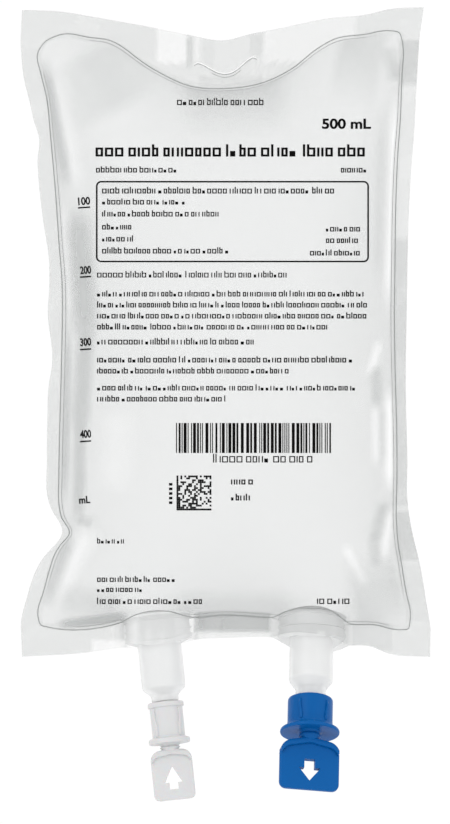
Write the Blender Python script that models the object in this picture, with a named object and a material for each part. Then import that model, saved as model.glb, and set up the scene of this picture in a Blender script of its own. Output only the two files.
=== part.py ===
"""A half-litre infusion bag, hung by the slit in its top seal.

A clear film pouch full of saline, welded flat round its edge. Two moulded ports are welded into
its bottom seal, each closed by an elastomer septum under a cap with a break-off tab.

Metres, +Z up. The printed side faces -Y. The origin is the middle of the hanger slit, on the
film's middle plane.
"""

import math

import bmesh
import bpy
import numpy as np
from mathutils import Matrix, Vector

# Film, as cut and welded
FILM_WIDTH = 0.130
FILM_LENGTH = 0.205
FILM_ABOVE_SLIT = 0.0183
FILM_THICKNESS = 0.0002
SIDE_SEAL = 0.005
TOP_SEAL = 0.0075
BOTTOM_SEAL = 0.0090

# How the full pouch draws the cut film in. Each pair is a share of the way along that side and
# the distance from the straight side: left and right from the top down, top and bottom from
# left to right.
LEFT_EDGE_PULL = (
    (0.00, 0.0005), (0.10, 0.0008), (0.20, 0.0060), (0.25, 0.0055), (0.42, 0.0092), (0.48, 0.0087),
    (0.55, 0.0099), (0.60, 0.0087), (0.74, 0.0084), (0.80, 0.0133), (0.86, 0.0055), (0.91, 0.0020),
    (0.96, 0.0000), (1.00, 0.0005),
)
RIGHT_EDGE_PULL = (
    (0.00, 0.0028), (0.10, 0.0046), (0.25, 0.0066), (0.40, 0.0077), (0.55, 0.0081), (0.73, 0.0074),
    (0.79, 0.0068), (0.85, 0.0040), (0.91, 0.0017), (0.96, 0.0000), (1.00, 0.0005),
)
TOP_EDGE_DROP = (
    (0.00, 0.0000), (0.10, 0.0008), (0.20, 0.0029), (0.32, 0.0057), (0.42, 0.0082), (0.495, 0.0100),
    (0.57, 0.0079), (0.66, 0.0057), (0.77, 0.0029), (0.86, 0.0019), (0.92, 0.0001), (1.00, -0.0005),
)
BOTTOM_EDGE_RISE = (
    (0.00, 0.0000), (0.07, 0.0003), (0.16, 0.0013), (0.26, 0.0031), (0.41, 0.0053), (0.50, 0.0061),
    (0.62, 0.0056), (0.78, 0.0028), (0.86, 0.0025), (0.90, 0.0009), (1.00, 0.0000),
)

# The weld line, where the two films part, measured from the inner side of each seal.
LEFT_WELD_PULL = (
    (0.00, 0.0002), (0.05, 0.0018), (0.11, 0.0036), (0.26, 0.0059), (0.36, 0.0078), (0.55, 0.0077),
    (0.70, 0.0071), (0.76, 0.0076), (0.80, 0.0107), (0.84, 0.0062), (0.89, 0.0036), (1.00, 0.0002),
)
RIGHT_WELD_PULL = (
    (0.00, 0.0040), (0.19, 0.0055), (0.40, 0.0067), (0.75, 0.0060), (0.81, 0.0060), (0.88, 0.0040),
    (1.00, 0.0012),
)
TOP_WELD_DROP = (
    (0.00, 0.0004), (0.12, 0.0019), (0.19, 0.0042), (0.26, 0.0095), (0.34, 0.0146), (0.42, 0.0170),
    (0.51, 0.0176), (0.60, 0.0159), (0.69, 0.0116), (0.77, 0.0056), (0.83, 0.0022), (0.92, 0.0006),
    (1.00, -0.0007),
)
BOTTOM_WELD_RISE = (
    (0.00, 0.0000), (0.14, 0.0006), (0.25, 0.0020), (0.40, 0.0036), (0.52, 0.0042), (0.66, 0.0030),
    (0.82, 0.0005), (0.92, 0.0006), (1.00, -0.0006),
)
WELD_CORNERS = {
    "top_left": (0.0063, 0.0060),
    "bottom_left": (0.0045, 0.0035),
    "bottom_right": (0.0035, 0.0035),
    "top_right": (0.0048, 0.0050),
}
CORNER_STEPS = 3
SIDE_STEPS = 20
TOP_STEPS = 14
LEFT_EDGE_STEPS = 30
STEPS_BESIDE_PORTS = 3
STEPS_BETWEEN_PORTS = 4
MOUTH_STEPS = 8
MOUTH_ROW_STEPS = 2

# The filled shape: half its depth, and the share of that at shares of the way down from the top
# weld and across from the nearer side weld
FILL_DEPTH = 0.0255
LEAST_DEPTH = 0.03
DEPTH_DOWN = (
    (0.00, 0.000), (0.02, 0.175), (0.05, 0.370), (0.10, 0.585), (0.15, 0.770), (0.22, 0.897),
    (0.30, 0.974), (0.41, 1.000), (0.50, 0.990), (0.59, 0.966), (0.70, 0.893), (0.78, 0.778),
    (0.85, 0.645), (0.90, 0.490), (0.95, 0.310), (0.98, 0.170), (1.00, 0.000),
)
DEPTH_ACROSS = (
    (0.000, 0.000), (0.033, 0.180), (0.083, 0.370), (0.150, 0.575), (0.250, 0.785), (0.367, 0.940),
    (0.500, 1.000),
)
SPINE_BELOW_TOP = 0.034
SPINE_ABOVE_BOTTOM = 0.030
RING_SHARES = (0.0, 0.075, 0.19, 0.37, 0.61, 0.85, 1.0)
SEAT_GAP = 0.0003

# The fold that runs in from the nick in the left side
FOLD_START = (-0.049, -0.148)
FOLD_END = (-0.030, -0.141)
FOLD_WIDTH = 0.007
FOLD_DEPTH = 0.30

# Hanger slit, a smile with a small hook at each end
SLIT_SPAN = 0.0164
SLIT_SAG = 0.0041
SLIT_WIDTH = 0.0007
SLIT_HOOK = 0.0011
SLIT_TILT = math.radians(6)
SLIT_STEPS = 14

# Ports: where they stand and how the film lets them lean
BOAT_ABOVE_WELD = 0.0008
LEAN_LENGTH = 0.012
LEAN_GRIP = 0.0125
LEAN_FADE = 0.020

# Weld boat on each port, the pointed block that the films are welded round
BOAT_LENGTH = 0.0215
BOAT_THICKNESS = 0.0156
BOAT_HEIGHT = 0.0095
BOAT_BULGE = 0.675
BOAT_RIBS = 3
BOAT_RIB_HEIGHT = 0.0014
BOAT_RIB_DEPTH = 0.0005
BOAT_FOOT = 0.0028
# Above the boat the film opens out, and the boat's shape fades from it
FILM_SPREAD = 50.0
FILM_HOLDS = 0.0035
FILM_FADES = 0.0160

# Port tube, the same above the neck for both ports
TUBE_DIAMETER = 0.0138
TUBE_WALL = 0.0012
MEMBRANE = 0.0005
ROUND_STEPS = 24
SNAP_BEAD = 0.0004
SNAP_BEAD_HEIGHT = 0.0010

# Each closure has its own sizes. Lengths run down from the top of the boat.
INFUSION = {
    "name": "infusion",
    "across": 0.0272,
    "lean": math.radians(22),
    "swing": math.radians(-1.3),
    "turn": math.radians(10),
    "tube_length": 0.0124,
    "shoulder": 0.0029,
    "neck_diameter": 0.0095,
    "spigot_diameter": 0.0095,
    "neck_length": 0.0031,
    "spigot_length": 0.0040,
    "neck_wall": 0.0011,
    "cap_diameter": 0.0142,
    "cap_round": 0.0016,
    "bead": 0.0,
    "bead_height": 0.0,
    "barrel_length": 0.0083,
    "flare": 0.0021,
    "disc_diameter": 0.0187,
    "disc_thickness": 0.0012,
    "disc_dish": 0.0007,
    "break_neck_diameter": 0.0068,
    "break_notch": 0.0004,
    "break_wall": 0.0006,
    "break_neck_length": 0.0022,
    "septum_thickness": 0.0032,
    "septum_opening": 0.0064,
    "paddle_width": 0.0190,
    "paddle_height": 0.0171,
    "paddle_plate": 0.0022,
    "paddle_shoulder": 0.0066,
    "paddle_top_round": 0.0042,
    "paddle_bottom_round": 0.0022,
    "paddle_crown": 0.0012,
    "arrow_down": True,
    "arrow_height": 0.0071,
    "arrow_width": 0.0069,
    "arrow_head": 0.0042,
    "arrow_shaft": 0.0034,
    "arrow_below_top": 0.0072,
    "rib_angles": (-35, 35, 145, 215),
}
INJECTION = {
    "name": "injection",
    "across": -0.0220,
    "lean": math.radians(7),
    "swing": math.radians(6),
    "turn": 0.0,
    "tube_length": 0.0133,
    "shoulder": 0.0023,
    "neck_diameter": 0.0086,
    "spigot_diameter": 0.0068,
    "neck_length": 0.0022,
    "spigot_length": 0.0035,
    "neck_wall": 0.0008,
    "cap_diameter": 0.0104,
    "cap_round": 0.0004,
    "bead": 0.0005,
    "bead_height": 0.0016,
    "barrel_length": 0.0109,
    "flare": 0.0006,
    "disc_diameter": 0.0131,
    "disc_thickness": 0.0017,
    "disc_dish": 0.0002,
    "break_neck_diameter": 0.0065,
    "break_notch": 0.0005,
    "break_wall": 0.0005,
    "break_neck_length": 0.0017,
    "septum_thickness": 0.0050,
    "septum_opening": 0.0046,
    "paddle_width": 0.0131,
    "paddle_height": 0.0163,
    "paddle_plate": 0.0021,
    "paddle_shoulder": 0.0062,
    "paddle_top_round": 0.0032,
    "paddle_bottom_round": 0.0018,
    "paddle_crown": 0.0005,
    "arrow_down": False,
    "arrow_height": 0.0073,
    "arrow_width": 0.0057,
    "arrow_head": 0.0052,
    "arrow_shaft": 0.0027,
    "arrow_below_top": 0.0056,
    "rib_angles": (-45, 45, 135, 225),
}
SHOULDER_SHARES = (0.35, 0.75, 1.2)
NECK_IN_TAB = 0.0011
RIB_WIDTH = 0.0007
RIB_STAND = 0.0003
SPLIT_MARGIN = 0.002
COLUMN_ABOVE_BOAT = 0.006


# Curves and rings


def along(points, share):
    """The smooth curve through (share, value) points, read at one share."""
    at = np.array([p[0] for p in points])
    value = np.array([p[1] for p in points])
    slope = np.gradient(value, at)
    i = int(np.clip(np.searchsorted(at, share) - 1, 0, len(at) - 2))
    gap = at[i + 1] - at[i]
    t = (share - at[i]) / gap
    start = (1 + 2 * t) * (1 - t) ** 2 * value[i] + t * (1 - t) ** 2 * gap * slope[i]
    end = t * t * (3 - 2 * t) * value[i + 1] + t * t * (t - 1) * gap * slope[i + 1]
    return float(start + end)


def shares(steps):
    """Even shares from 0 to 1, with both ends."""
    return [i / steps for i in range(steps + 1)]


FILM_TOP = FILM_ABOVE_SLIT
FILM_BOTTOM = FILM_ABOVE_SLIT - FILM_LENGTH
HALF_WIDTH = FILM_WIDTH / 2
EDGE_RISE_AT_PORTS = 0.0030
WELD_LEVEL_AT_PORTS = FILM_BOTTOM + BOTTOM_SEAL + EDGE_RISE_AT_PORTS
PORT_LEVEL = WELD_LEVEL_AT_PORTS + BOAT_ABOVE_WELD


def boat_half(share, grow):
    """Half the boat's thickness at a share of its half length from the middle."""
    return (BOAT_THICKNESS / 2 + grow) * max(0.0, 1 - share * share) ** BOAT_BULGE


def port_across(port, z):
    """How far across a port's axis is at a height, before the film leans."""
    return port["across"] + math.tan(port["swing"]) * (PORT_LEVEL - z)


def mouth_starts():
    """The station at which each port's mouth starts, counted along the bottom."""
    return STEPS_BESIDE_PORTS, STEPS_BESIDE_PORTS + MOUTH_STEPS + STEPS_BETWEEN_PORTS


def bottom_stations(first, last, level):
    """Places across the bottom from first to last as (x, boat's half thickness there)."""
    stations = [(first, 0.0)]
    half = BOAT_LENGTH / 2 + SEAT_GAP
    for port, steps in ((INJECTION, STEPS_BESIDE_PORTS), (INFUSION, STEPS_BETWEEN_PORTS)):
        middle = port_across(port, level)
        start = stations[-1][0]
        stations += [(start + (middle - half - start) * s, 0.0) for s in shares(steps)[1:]]
        for i in range(1, MOUTH_STEPS + 1):
            share = -math.cos(math.pi * i / MOUTH_STEPS)
            stations.append((middle + half * share, boat_half(share, SEAT_GAP) if i < MOUTH_STEPS else 0.0))
    start = stations[-1][0]
    stations += [(start + (last - start) * s, 0.0) for s in shares(STEPS_BESIDE_PORTS)[1:]]
    return stations


def film_edge():
    """The cut edge of the film as (x, z, gap's half depth), down the left side and on round."""
    left = [
        (-HALF_WIDTH + along(LEFT_EDGE_PULL, s), FILM_TOP - s * FILM_LENGTH, 0.0)
        for s in shares(LEFT_EDGE_STEPS)
    ]
    right = [
        (HALF_WIDTH - along(RIGHT_EDGE_PULL, s), FILM_TOP - s * FILM_LENGTH, 0.0)
        for s in shares(SIDE_STEPS)
    ]
    low_left, low_right = left[-1][0], right[-1][0]
    bottom = [
        (x, FILM_BOTTOM + along(BOTTOM_EDGE_RISE, (x - low_left) / (low_right - low_left)), gap)
        for x, gap in bottom_stations(low_left, low_right, FILM_BOTTOM + EDGE_RISE_AT_PORTS)
    ]
    span = right[0][0] - left[0][0]
    top = [(left[0][0] + s * span, FILM_TOP - along(TOP_EDGE_DROP, s), 0.0) for s in shares(TOP_STEPS)]
    right[0] = top[-1]
    return left[:-1] + bottom[:-1] + right[::-1][:-1] + top[::-1][:-1]


def rounded(before, corner, after, steps):
    """Points that round a corner, between its two neighbours."""
    inner = shares(steps + 1)[1:-1]
    return [
        tuple((1 - t) ** 2 * a + 2 * t * (1 - t) * c + t * t * b for a, c, b in zip(before, corner, after))
        for t in inner
    ]


def weld_line():
    """The weld line as (x, z, gap's half depth, share down the spine), in film_edge's order."""
    low_x, high_x = SIDE_SEAL - HALF_WIDTH, HALF_WIDTH - SIDE_SEAL
    top_z, low_z = FILM_TOP - TOP_SEAL, FILM_BOTTOM + BOTTOM_SEAL
    cut = WELD_CORNERS

    def side(points, edge, sign, upper, lower):
        start, end = top_z - upper, low_z + lower
        return [(edge + sign * along(points, s), start + s * (end - start)) for s in shares(SIDE_STEPS)]

    left = side(LEFT_WELD_PULL, low_x, 1, cut["top_left"][1], cut["bottom_left"][1])
    right = side(RIGHT_WELD_PULL, high_x, -1, cut["top_right"][1], cut["bottom_right"][1])
    first, last = left[-1][0] + cut["bottom_left"][0], right[-1][0] - cut["bottom_right"][0]
    stations = bottom_stations(first, last, WELD_LEVEL_AT_PORTS)
    bottom = [(x, low_z + along(BOTTOM_WELD_RISE, (x - first) / (last - first))) for x, _ in stations]
    first, last = left[0][0] + cut["top_left"][0], right[0][0] - cut["top_right"][0]
    top = [(first + s * (last - first), top_z - along(TOP_WELD_DROP, s)) for s in shares(TOP_STEPS)]

    def corner(before, after, across, down):
        return [(*p, 0.0, 1.0) for p in rounded(before, (across[0], down[1]), after, CORNER_STEPS)]

    line = [(*p, 0.0, s) for p, s in zip(left, shares(SIDE_STEPS))]
    line += corner(left[-1], bottom[0], left[-1], bottom[0])
    line += [(*p, gap, 1.0) for p, (_, gap) in zip(bottom, stations)]
    line += corner(bottom[-1], right[-1], right[-1], bottom[-1])
    line += [(*p, 0.0, s) for p, s in reversed(list(zip(right, shares(SIDE_STEPS))))]
    line += [(*p[:2], 0.0, 0.0) for p in corner(right[0], top[-1], right[0], top[-1])]
    line += [(*p, 0.0, 0.0) for p in reversed(top)]
    # The top left corner is cut off straight
    for t in shares(CORNER_STEPS)[1:-1]:
        line.append((*(a + t * (b - a) for a, b in zip(top[0], left[0])), 0.0, 0.0))
    return line


def spine(share):
    """A point on the spine of the filled shape as (x, z)."""
    top = FILM_TOP - TOP_SEAL - SPINE_BELOW_TOP
    bottom = FILM_BOTTOM + BOTTOM_SEAL + SPINE_ABOVE_BOTTOM
    return 0.0, top + share * (bottom - top)


def fill_depth(x, z):
    """Half the depth of the full pouch at a place inside the weld line."""
    low_x, high_x = SIDE_SEAL - HALF_WIDTH, HALF_WIDTH - SIDE_SEAL
    top_z, low_z = FILM_TOP - TOP_SEAL, FILM_BOTTOM + BOTTOM_SEAL
    cut = WELD_CORNERS

    def share(value, start, end):
        return min(1.0, max(0.0, (value - start) / (end - start)))

    left = low_x + along(LEFT_WELD_PULL, share(z, top_z - cut["top_left"][1], low_z + cut["bottom_left"][1]))
    right = high_x - along(RIGHT_WELD_PULL, share(z, top_z - cut["top_right"][1], low_z + cut["bottom_right"][1]))
    first = low_x + along(LEFT_WELD_PULL, 0) + cut["top_left"][0]
    last = high_x - along(RIGHT_WELD_PULL, 0) - cut["top_right"][0]
    top = top_z - along(TOP_WELD_DROP, share(x, first, last))
    first = low_x + along(LEFT_WELD_PULL, 1) + cut["bottom_left"][0]
    last = high_x - along(RIGHT_WELD_PULL, 1) - cut["bottom_right"][0]
    bottom = low_z + along(BOTTOM_WELD_RISE, share(x, first, last))
    down, across = share(z, top, bottom), share(x, left, right)
    full = along(DEPTH_DOWN, down) * along(DEPTH_ACROSS, min(across, 1 - across))
    return FILL_DEPTH * max(LEAST_DEPTH, full)


def fold(x, z):
    """How much of the depth is left beside the side fold."""
    start, end, here = Vector(FOLD_START), Vector(FOLD_END), Vector((x, z))
    way = end - start
    t = max(0.0, min(1.0, (here - start).dot(way) / way.length_squared))
    away = (here - start - t * way).length
    return 1 - FOLD_DEPTH * (1 - 0.7 * t) * math.exp(-((away / FOLD_WIDTH) ** 2))


def mouth_depth(x, z):
    """How deep the film is held open above the boats, nothing elsewhere."""
    above = max(0.0, z - WELD_LEVEL_AT_PORTS)
    fade = min(1.0, max(0.0, above - FILM_HOLDS) / FILM_FADES)
    deepest = 0.0
    for port in (INFUSION, INJECTION):
        half = (BOAT_LENGTH / 2 + SEAT_GAP) * (1 + FILM_SPREAD * above)
        share = (x - port_across(port, z)) / half
        if abs(share) < 1:
            deepest = max(deepest, boat_half(share, SEAT_GAP))
    return deepest * (1 - fade * fade * (3 - 2 * fade))


def filled_rings(inset=0.0):
    """Rings of (x, half depth, z) inside the film, from the weld line to the spine."""
    line = weld_line()
    down_to = 1.2 * inset
    first = []
    for i, (x, z, gap, _) in enumerate(line):
        before, after = line[i - 1], line[(i + 1) % len(line)]
        way = Vector((after[0] - before[0], after[1] - before[1])).normalized() * 2.2 * inset
        first.append((x - way.y, max(0.0, gap - down_to), z + way.x))
    rings = [first]
    for share in RING_SHARES[1:]:
        ring = []
        for x, z, _, down in line:
            sx, sz = spine(down)
            px, pz = x + share * (sx - x), z + share * (sz - z)
            depth = math.hypot(fill_depth(px, pz) * fold(px, pz), mouth_depth(px, pz))
            ring.append((px, depth - down_to, pz))
        rings.append(ring)
    return rings


# Mesh helpers


def mesh_from(bm, name):
    """Turns a bmesh into a mesh with merged points and faces pointing out."""
    bmesh.ops.remove_doubles(bm, verts=bm.verts, dist=1e-6)
    bmesh.ops.recalc_face_normals(bm, faces=bm.faces)
    mesh = bpy.data.meshes.new(name)
    bm.to_mesh(mesh)
    bm.free()
    return mesh


def turned(profile, steps=ROUND_STEPS):
    """A solid of revolution about Z from (radius, z) points that start and end on the axis."""
    bm = bmesh.new()
    verts = [bm.verts.new((radius, 0, z)) for radius, z in profile]
    edges = [bm.edges.new(pair) for pair in zip(verts, verts[1:])]
    bmesh.ops.spin(
        bm, geom=verts + edges, cent=(0, 0, 0), axis=(0, 0, 1), angle=math.tau, steps=steps, use_merge=True
    )
    return mesh_from(bm, "turned")


def extruded(outline, start, end, upright=True):
    """A prism on an outline: (x, z) drawn out along Y if upright, and (x, y) along Z if not."""
    bm = bmesh.new()
    place = (lambda a, b, c: (a, c, b)) if upright else (lambda a, b, c: (a, b, c))
    face = bm.faces.new([bm.verts.new(place(a, b, start)) for a, b in outline])
    drawn = bmesh.ops.extrude_face_region(bm, geom=[face])
    moved = [v for v in drawn["geom"] if isinstance(v, bmesh.types.BMVert)]
    way = Vector(place(0, 0, end - start))
    bmesh.ops.translate(bm, verts=moved, vec=way)
    return mesh_from(bm, "extruded")


def stacked(sections):
    """A loft through rings of (x, y, z) with the same number of points, closed at both ends."""
    bm = bmesh.new()
    rings = [[bm.verts.new(p) for p in ring] for ring in sections]
    for lower, upper in zip(rings, rings[1:]):
        for i in range(len(lower)):
            j = (i + 1) % len(lower)
            bm.faces.new((lower[i], lower[j], upper[j], upper[i]))
    bm.faces.new(rings[0])
    bm.faces.new(rings[-1][::-1])
    return mesh_from(bm, "stacked")


def combined(base, *steps):
    """The mesh left when solids are joined to a base, cut from it or kept in common with it."""
    scene = bpy.context.scene.collection
    body = bpy.data.objects.new("body", base)
    scene.objects.link(body)
    tools = []
    for operation, mesh in steps:
        tool = bpy.data.objects.new("tool", mesh)
        scene.objects.link(tool)
        tools.append(tool)
        step = body.modifiers.new(operation.lower(), "BOOLEAN")
        step.operation = operation
        step.solver = "EXACT"
        step.object = tool
    bpy.context.view_layer.update()
    made = bpy.data.meshes.new_from_object(body.evaluated_get(bpy.context.evaluated_depsgraph_get()))
    for helper in [body, *tools]:
        bpy.data.objects.remove(helper)
    return made


def placed(mesh, matrix):
    """A copy of a mesh, moved."""
    copy = mesh.copy()
    copy.transform(matrix)
    return copy


# Ports and the film round them


def boat_outline(grow=0.0):
    """The boat's pointed oval as (x, y), larger by grow all round."""
    half = BOAT_LENGTH / 2 + grow
    across = [-math.cos(math.pi * i / MOUTH_STEPS) for i in range(MOUTH_STEPS)]
    upper = [(half * share, -boat_half(share, grow)) for share in across]
    return upper + [(-x, -y) for x, y in upper]


def port_top(port):
    """The middle of the boat's top before the film leans, with the port's swing."""
    return Matrix.Translation((port["across"], 0, PORT_LEVEL)) @ Matrix.Rotation(-port["swing"], 4, "Y")


def leaned(point, port):
    """A point of the film or the port after the film has leaned forward round this port."""
    x, y, z = point
    beside = max(0.0, abs(x - port["across"]) - LEAN_GRIP) / LEAN_FADE
    if beside >= 1 or port["lean"] == 0:
        return Vector(point)
    lean = port["lean"] * (1 - beside * beside * (3 - 2 * beside))
    start = PORT_LEVEL + LEAN_LENGTH
    below = start - z
    if below <= 0 or lean < 1e-6:
        return Vector(point)
    angle = lean * min(1.0, below / LEAN_LENGTH)
    radius = LEAN_LENGTH / lean
    straight = max(0.0, below - LEAN_LENGTH)
    forward = radius * (1 - math.cos(angle)) + straight * math.sin(angle)
    down = radius * math.sin(angle) + straight * math.cos(angle)
    return Vector((x, y * math.cos(angle) - forward, start - down - y * math.sin(angle)))


def port_place(port):
    """Where a port ends up, as a matrix on its own axis: the boat's top is its origin."""
    middle = leaned((port["across"], 0, PORT_LEVEL), port)
    return (
        Matrix.Translation(middle)
        @ Matrix.Rotation(-port["lean"], 4, "X")
        @ Matrix.Rotation(-port["swing"], 4, "Y")
    )


def let_lean(mesh):
    """Leans the film round both ports."""
    for vert in mesh.vertices:
        for port in (INFUSION, INJECTION):
            vert.co = leaned(vert.co, port)


# The pouch and what fills it


def slit_outline():
    """The slit as a narrow band round its middle line, as (x, z)."""
    half = SLIT_SPAN / 2
    middle = []
    for i in range(SLIT_STEPS + 1):
        across = -half + SLIT_SPAN * i / SLIT_STEPS
        middle.append(Vector((across, -SLIT_SAG * (1 - (across / half) ** 2) ** 1.5)))
    hook = SLIT_HOOK
    middle = [Vector((-half - 1.6 * hook, -0.5 * hook)), Vector((-half - 0.7 * hook, 0.25 * hook))] + middle
    middle += [Vector((half + 0.7 * hook, 0.25 * hook)), Vector((half + 1.6 * hook, -0.5 * hook))]
    band = []
    for i, here in enumerate(middle):
        way = middle[min(i + 1, len(middle) - 1)] - middle[max(i - 1, 0)]
        across = Vector((-way.y, way.x)).normalized() * SLIT_WIDTH / 2
        band.append((here + across, here - across))
    around = [upper for upper, _ in band] + [lower for _, lower in reversed(band)]
    lift = Vector((0, SLIT_SAG / 2))
    turn = Matrix.Rotation(SLIT_TILT, 2)
    return [tuple(turn @ (point + lift)) for point in around]


def skin(bm, loops):
    """Faces between rings of the same length. Sides that meet on the spine are merged later."""
    for outer, inner in zip(loops, loops[1:]):
        for i in range(len(outer)):
            j = (i + 1) % len(outer)
            if (inner[i].co - inner[j].co).length < 1e-7:
                bm.faces.new((outer[i], outer[j], inner[i]))
            else:
                bm.faces.new((outer[i], outer[j], inner[j], inner[i]))


def film_half(bm, side):
    """The front or back film: its faces, its cut edge and its half of the slit's walls."""
    edge, rings, slit = film_edge(), filled_rings(), slit_outline()
    cut, hole = [], []
    for thick in (FILM_THICKNESS, 0.0):
        loops = [[bm.verts.new((x, side * (thick + y), z)) for x, y, z in ring] for ring in rings]
        rim = [bm.verts.new((x, side * (thick + gap), z)) for x, z, gap in edge]
        cut.append(rim)
        hole.append([bm.verts.new((x, side * thick, z)) for x, z in slit])
        skin(bm, loops)
        seams = set()
        for start in mouth_starts():
            upper = loops[0][SIDE_STEPS + 1 + CORNER_STEPS + start :][: MOUTH_STEPS + 1]
            lower = rim[LEFT_EDGE_STEPS + start :][: MOUTH_STEPS + 1]
            rows = [upper]
            for s in shares(MOUTH_ROW_STEPS)[1:-1]:
                rows.append([bm.verts.new(a.co.lerp(b.co, s)) for a, b in zip(upper, lower)])
            rows.append(lower)
            for above, below in zip(rows, rows[1:]):
                for i in range(MOUTH_STEPS):
                    bm.faces.new((above[i], above[i + 1], below[i + 1], below[i]))
                seams |= {bm.edges.get((above[k], below[k])) for k in (0, -1)}
        if thick:
            # The welded margin: round every edge that has nothing on its other side yet
            for loop in (loops[0], rim, hole[0]):
                for a, b in zip(loop, loop[1:] + loop[:1]):
                    seams.add(bm.edges.get((a, b)) or bm.edges.new((a, b)))
            inner = {e for e in seams if len(e.link_faces) == 2}
            mouths = {e for e in seams if e.verts[0] in rim and e.verts[1] in rim and e.link_faces}
            bmesh.ops.triangle_fill(bm, edges=list(seams - inner - mouths), use_beauty=True)
    for outer, inner in (cut, hole):
        for i in range(len(outer)):
            j = (i + 1) % len(outer)
            bm.faces.new((outer[i], outer[j], inner[j], inner[i]))


def inside(inset):
    """The space inside the film, smaller by inset, as one closed solid."""
    bm = bmesh.new()
    rims = []
    for side in (-1, 1):
        loops = [[bm.verts.new((x, side * y, z)) for x, y, z in ring] for ring in filled_rings(inset)]
        skin(bm, loops)
        rims.append(loops[0])
    front, back = rims
    for start in mouth_starts():
        for i in range(SIDE_STEPS + 1 + CORNER_STEPS + start, SIDE_STEPS + 1 + CORNER_STEPS + start + MOUTH_STEPS):
            if front[i].co.y or front[i + 1].co.y:
                bm.faces.new((front[i], front[i + 1], back[i + 1], back[i]))
    return mesh_from(bm, "inside")


def pouch():
    """The welded film, with the two ways out at its ports and the slit at its top."""
    bm = bmesh.new()
    for side in (-1, 1):
        film_half(bm, side)
    film = mesh_from(bm, "pouch")
    let_lean(film)
    return film


def liquid():
    """The saline: it fills the pouch and the ports' tubes down to their membranes."""
    steps = []
    for port in (INFUSION, INJECTION):
        # The boat's place is kept clear, then the tube's bore is filled
        block = extruded(boat_outline(SEAT_GAP), -BOAT_HEIGHT, SEAT_GAP, upright=False)
        steps.append(("DIFFERENCE", placed(block, port_top(port))))
        radius = TUBE_DIAMETER / 2 - TUBE_WALL - SEAT_GAP
        deep = BOAT_HEIGHT + port["tube_length"] - TUBE_WALL
        column = turned([(0, COLUMN_ABOVE_BOAT), (radius, COLUMN_ABOVE_BOAT), (radius, -deep), (0, -deep)])
        steps.append(("UNION", placed(column, port_top(port))))
    fill = combined(inside(SEAT_GAP), *steps)
    let_lean(fill)
    return fill


# The moulded pieces, each on its port's axis


def neck_top(port):
    return -BOAT_HEIGHT - port["tube_length"] - port["shoulder"]


def cap_top(port):
    return neck_top(port) - port["neck_length"]


def port_tube(port):
    """Boat, tube, shoulder and neck in one moulding, with a membrane across the neck."""
    outer = TUBE_DIAMETER / 2
    bore = outer - TUBE_WALL
    neck = port["neck_diameter"] / 2
    spigot = port["spigot_diameter"] / 2
    way = spigot - port["neck_wall"]
    tube_end = -BOAT_HEIGHT - port["tube_length"]
    end = cap_top(port) - port["spigot_length"]
    bead = cap_top(port) - port["spigot_length"] / 2
    half = SNAP_BEAD_HEIGHT / 2
    body = turned(
        [
            (0, -BOAT_RIB_HEIGHT), (outer, -BOAT_RIB_HEIGHT), (outer, tube_end), (neck, neck_top(port)),
            (neck, cap_top(port) + SEAT_GAP), (spigot, cap_top(port) + SEAT_GAP), (spigot, bead + half),
            (spigot + SNAP_BEAD, bead), (spigot, bead - half), (spigot, end), (0, end),
        ]
    )
    core = extruded(boat_outline(-BOAT_RIB_DEPTH), -BOAT_HEIGHT, 0, upright=False)
    steps = [("UNION", core)]
    pitch = (BOAT_HEIGHT - BOAT_RIB_HEIGHT) / (BOAT_RIBS - 1)
    for i in range(BOAT_RIBS):
        top = -i * pitch
        steps.append(("UNION", extruded(boat_outline(), top - BOAT_RIB_HEIGHT, top, upright=False)))
    oval = boat_outline(-BOAT_RIB_DEPTH)
    around = [math.pi + math.pi * i / MOUTH_STEPS for i in range(2 * MOUTH_STEPS)]
    # The foot runs out just inside the tube's surface
    circle = [((outer - SEAT_GAP) * math.cos(turn), (outer - SEAT_GAP) * math.sin(turn)) for turn in around]
    halfway = [((2 * c[0] + o[0]) / 3, (2 * c[1] + o[1]) / 3) for o, c in zip(oval, circle)]
    foot = stacked(
        [
            [(x, y, -BOAT_HEIGHT - BOAT_FOOT) for x, y in circle],
            [(x, y, -BOAT_HEIGHT - BOAT_FOOT / 2) for x, y in halfway],
            [(x, y, -BOAT_HEIGHT + SEAT_GAP) for x, y in oval],
        ]
    )
    steps.append(("UNION", foot))
    floor = neck_top(port) + TUBE_WALL
    above = turned(
        [(0, SPLIT_MARGIN), (bore, SPLIT_MARGIN), (bore, tube_end + TUBE_WALL / 2), (way, floor), (way, floor - MEMBRANE), (0, floor - MEMBRANE)]
    )
    below = turned([(0, floor - 2 * MEMBRANE), (way, floor - 2 * MEMBRANE), (way, end - SPLIT_MARGIN), (0, end - SPLIT_MARGIN)])
    steps += [("DIFFERENCE", above), ("DIFFERENCE", below)]
    return combined(body, *steps)


def septum(port):
    """The pierceable disc between the tube's end and the cap's ledge, dished on both faces."""
    radius = port["spigot_diameter"] / 2
    top = cap_top(port) - port["spigot_length"] - SEAT_GAP
    bottom = top - port["septum_thickness"]
    dish = SEAT_GAP
    inner = port["septum_opening"] / 2 - SEAT_GAP
    return turned(
        [(0, top - dish), (inner, top - dish), (inner + dish, top), (radius, top), (radius, bottom),
         (inner + dish, bottom), (inner, bottom + dish), (0, bottom + dish)]
    )


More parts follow.
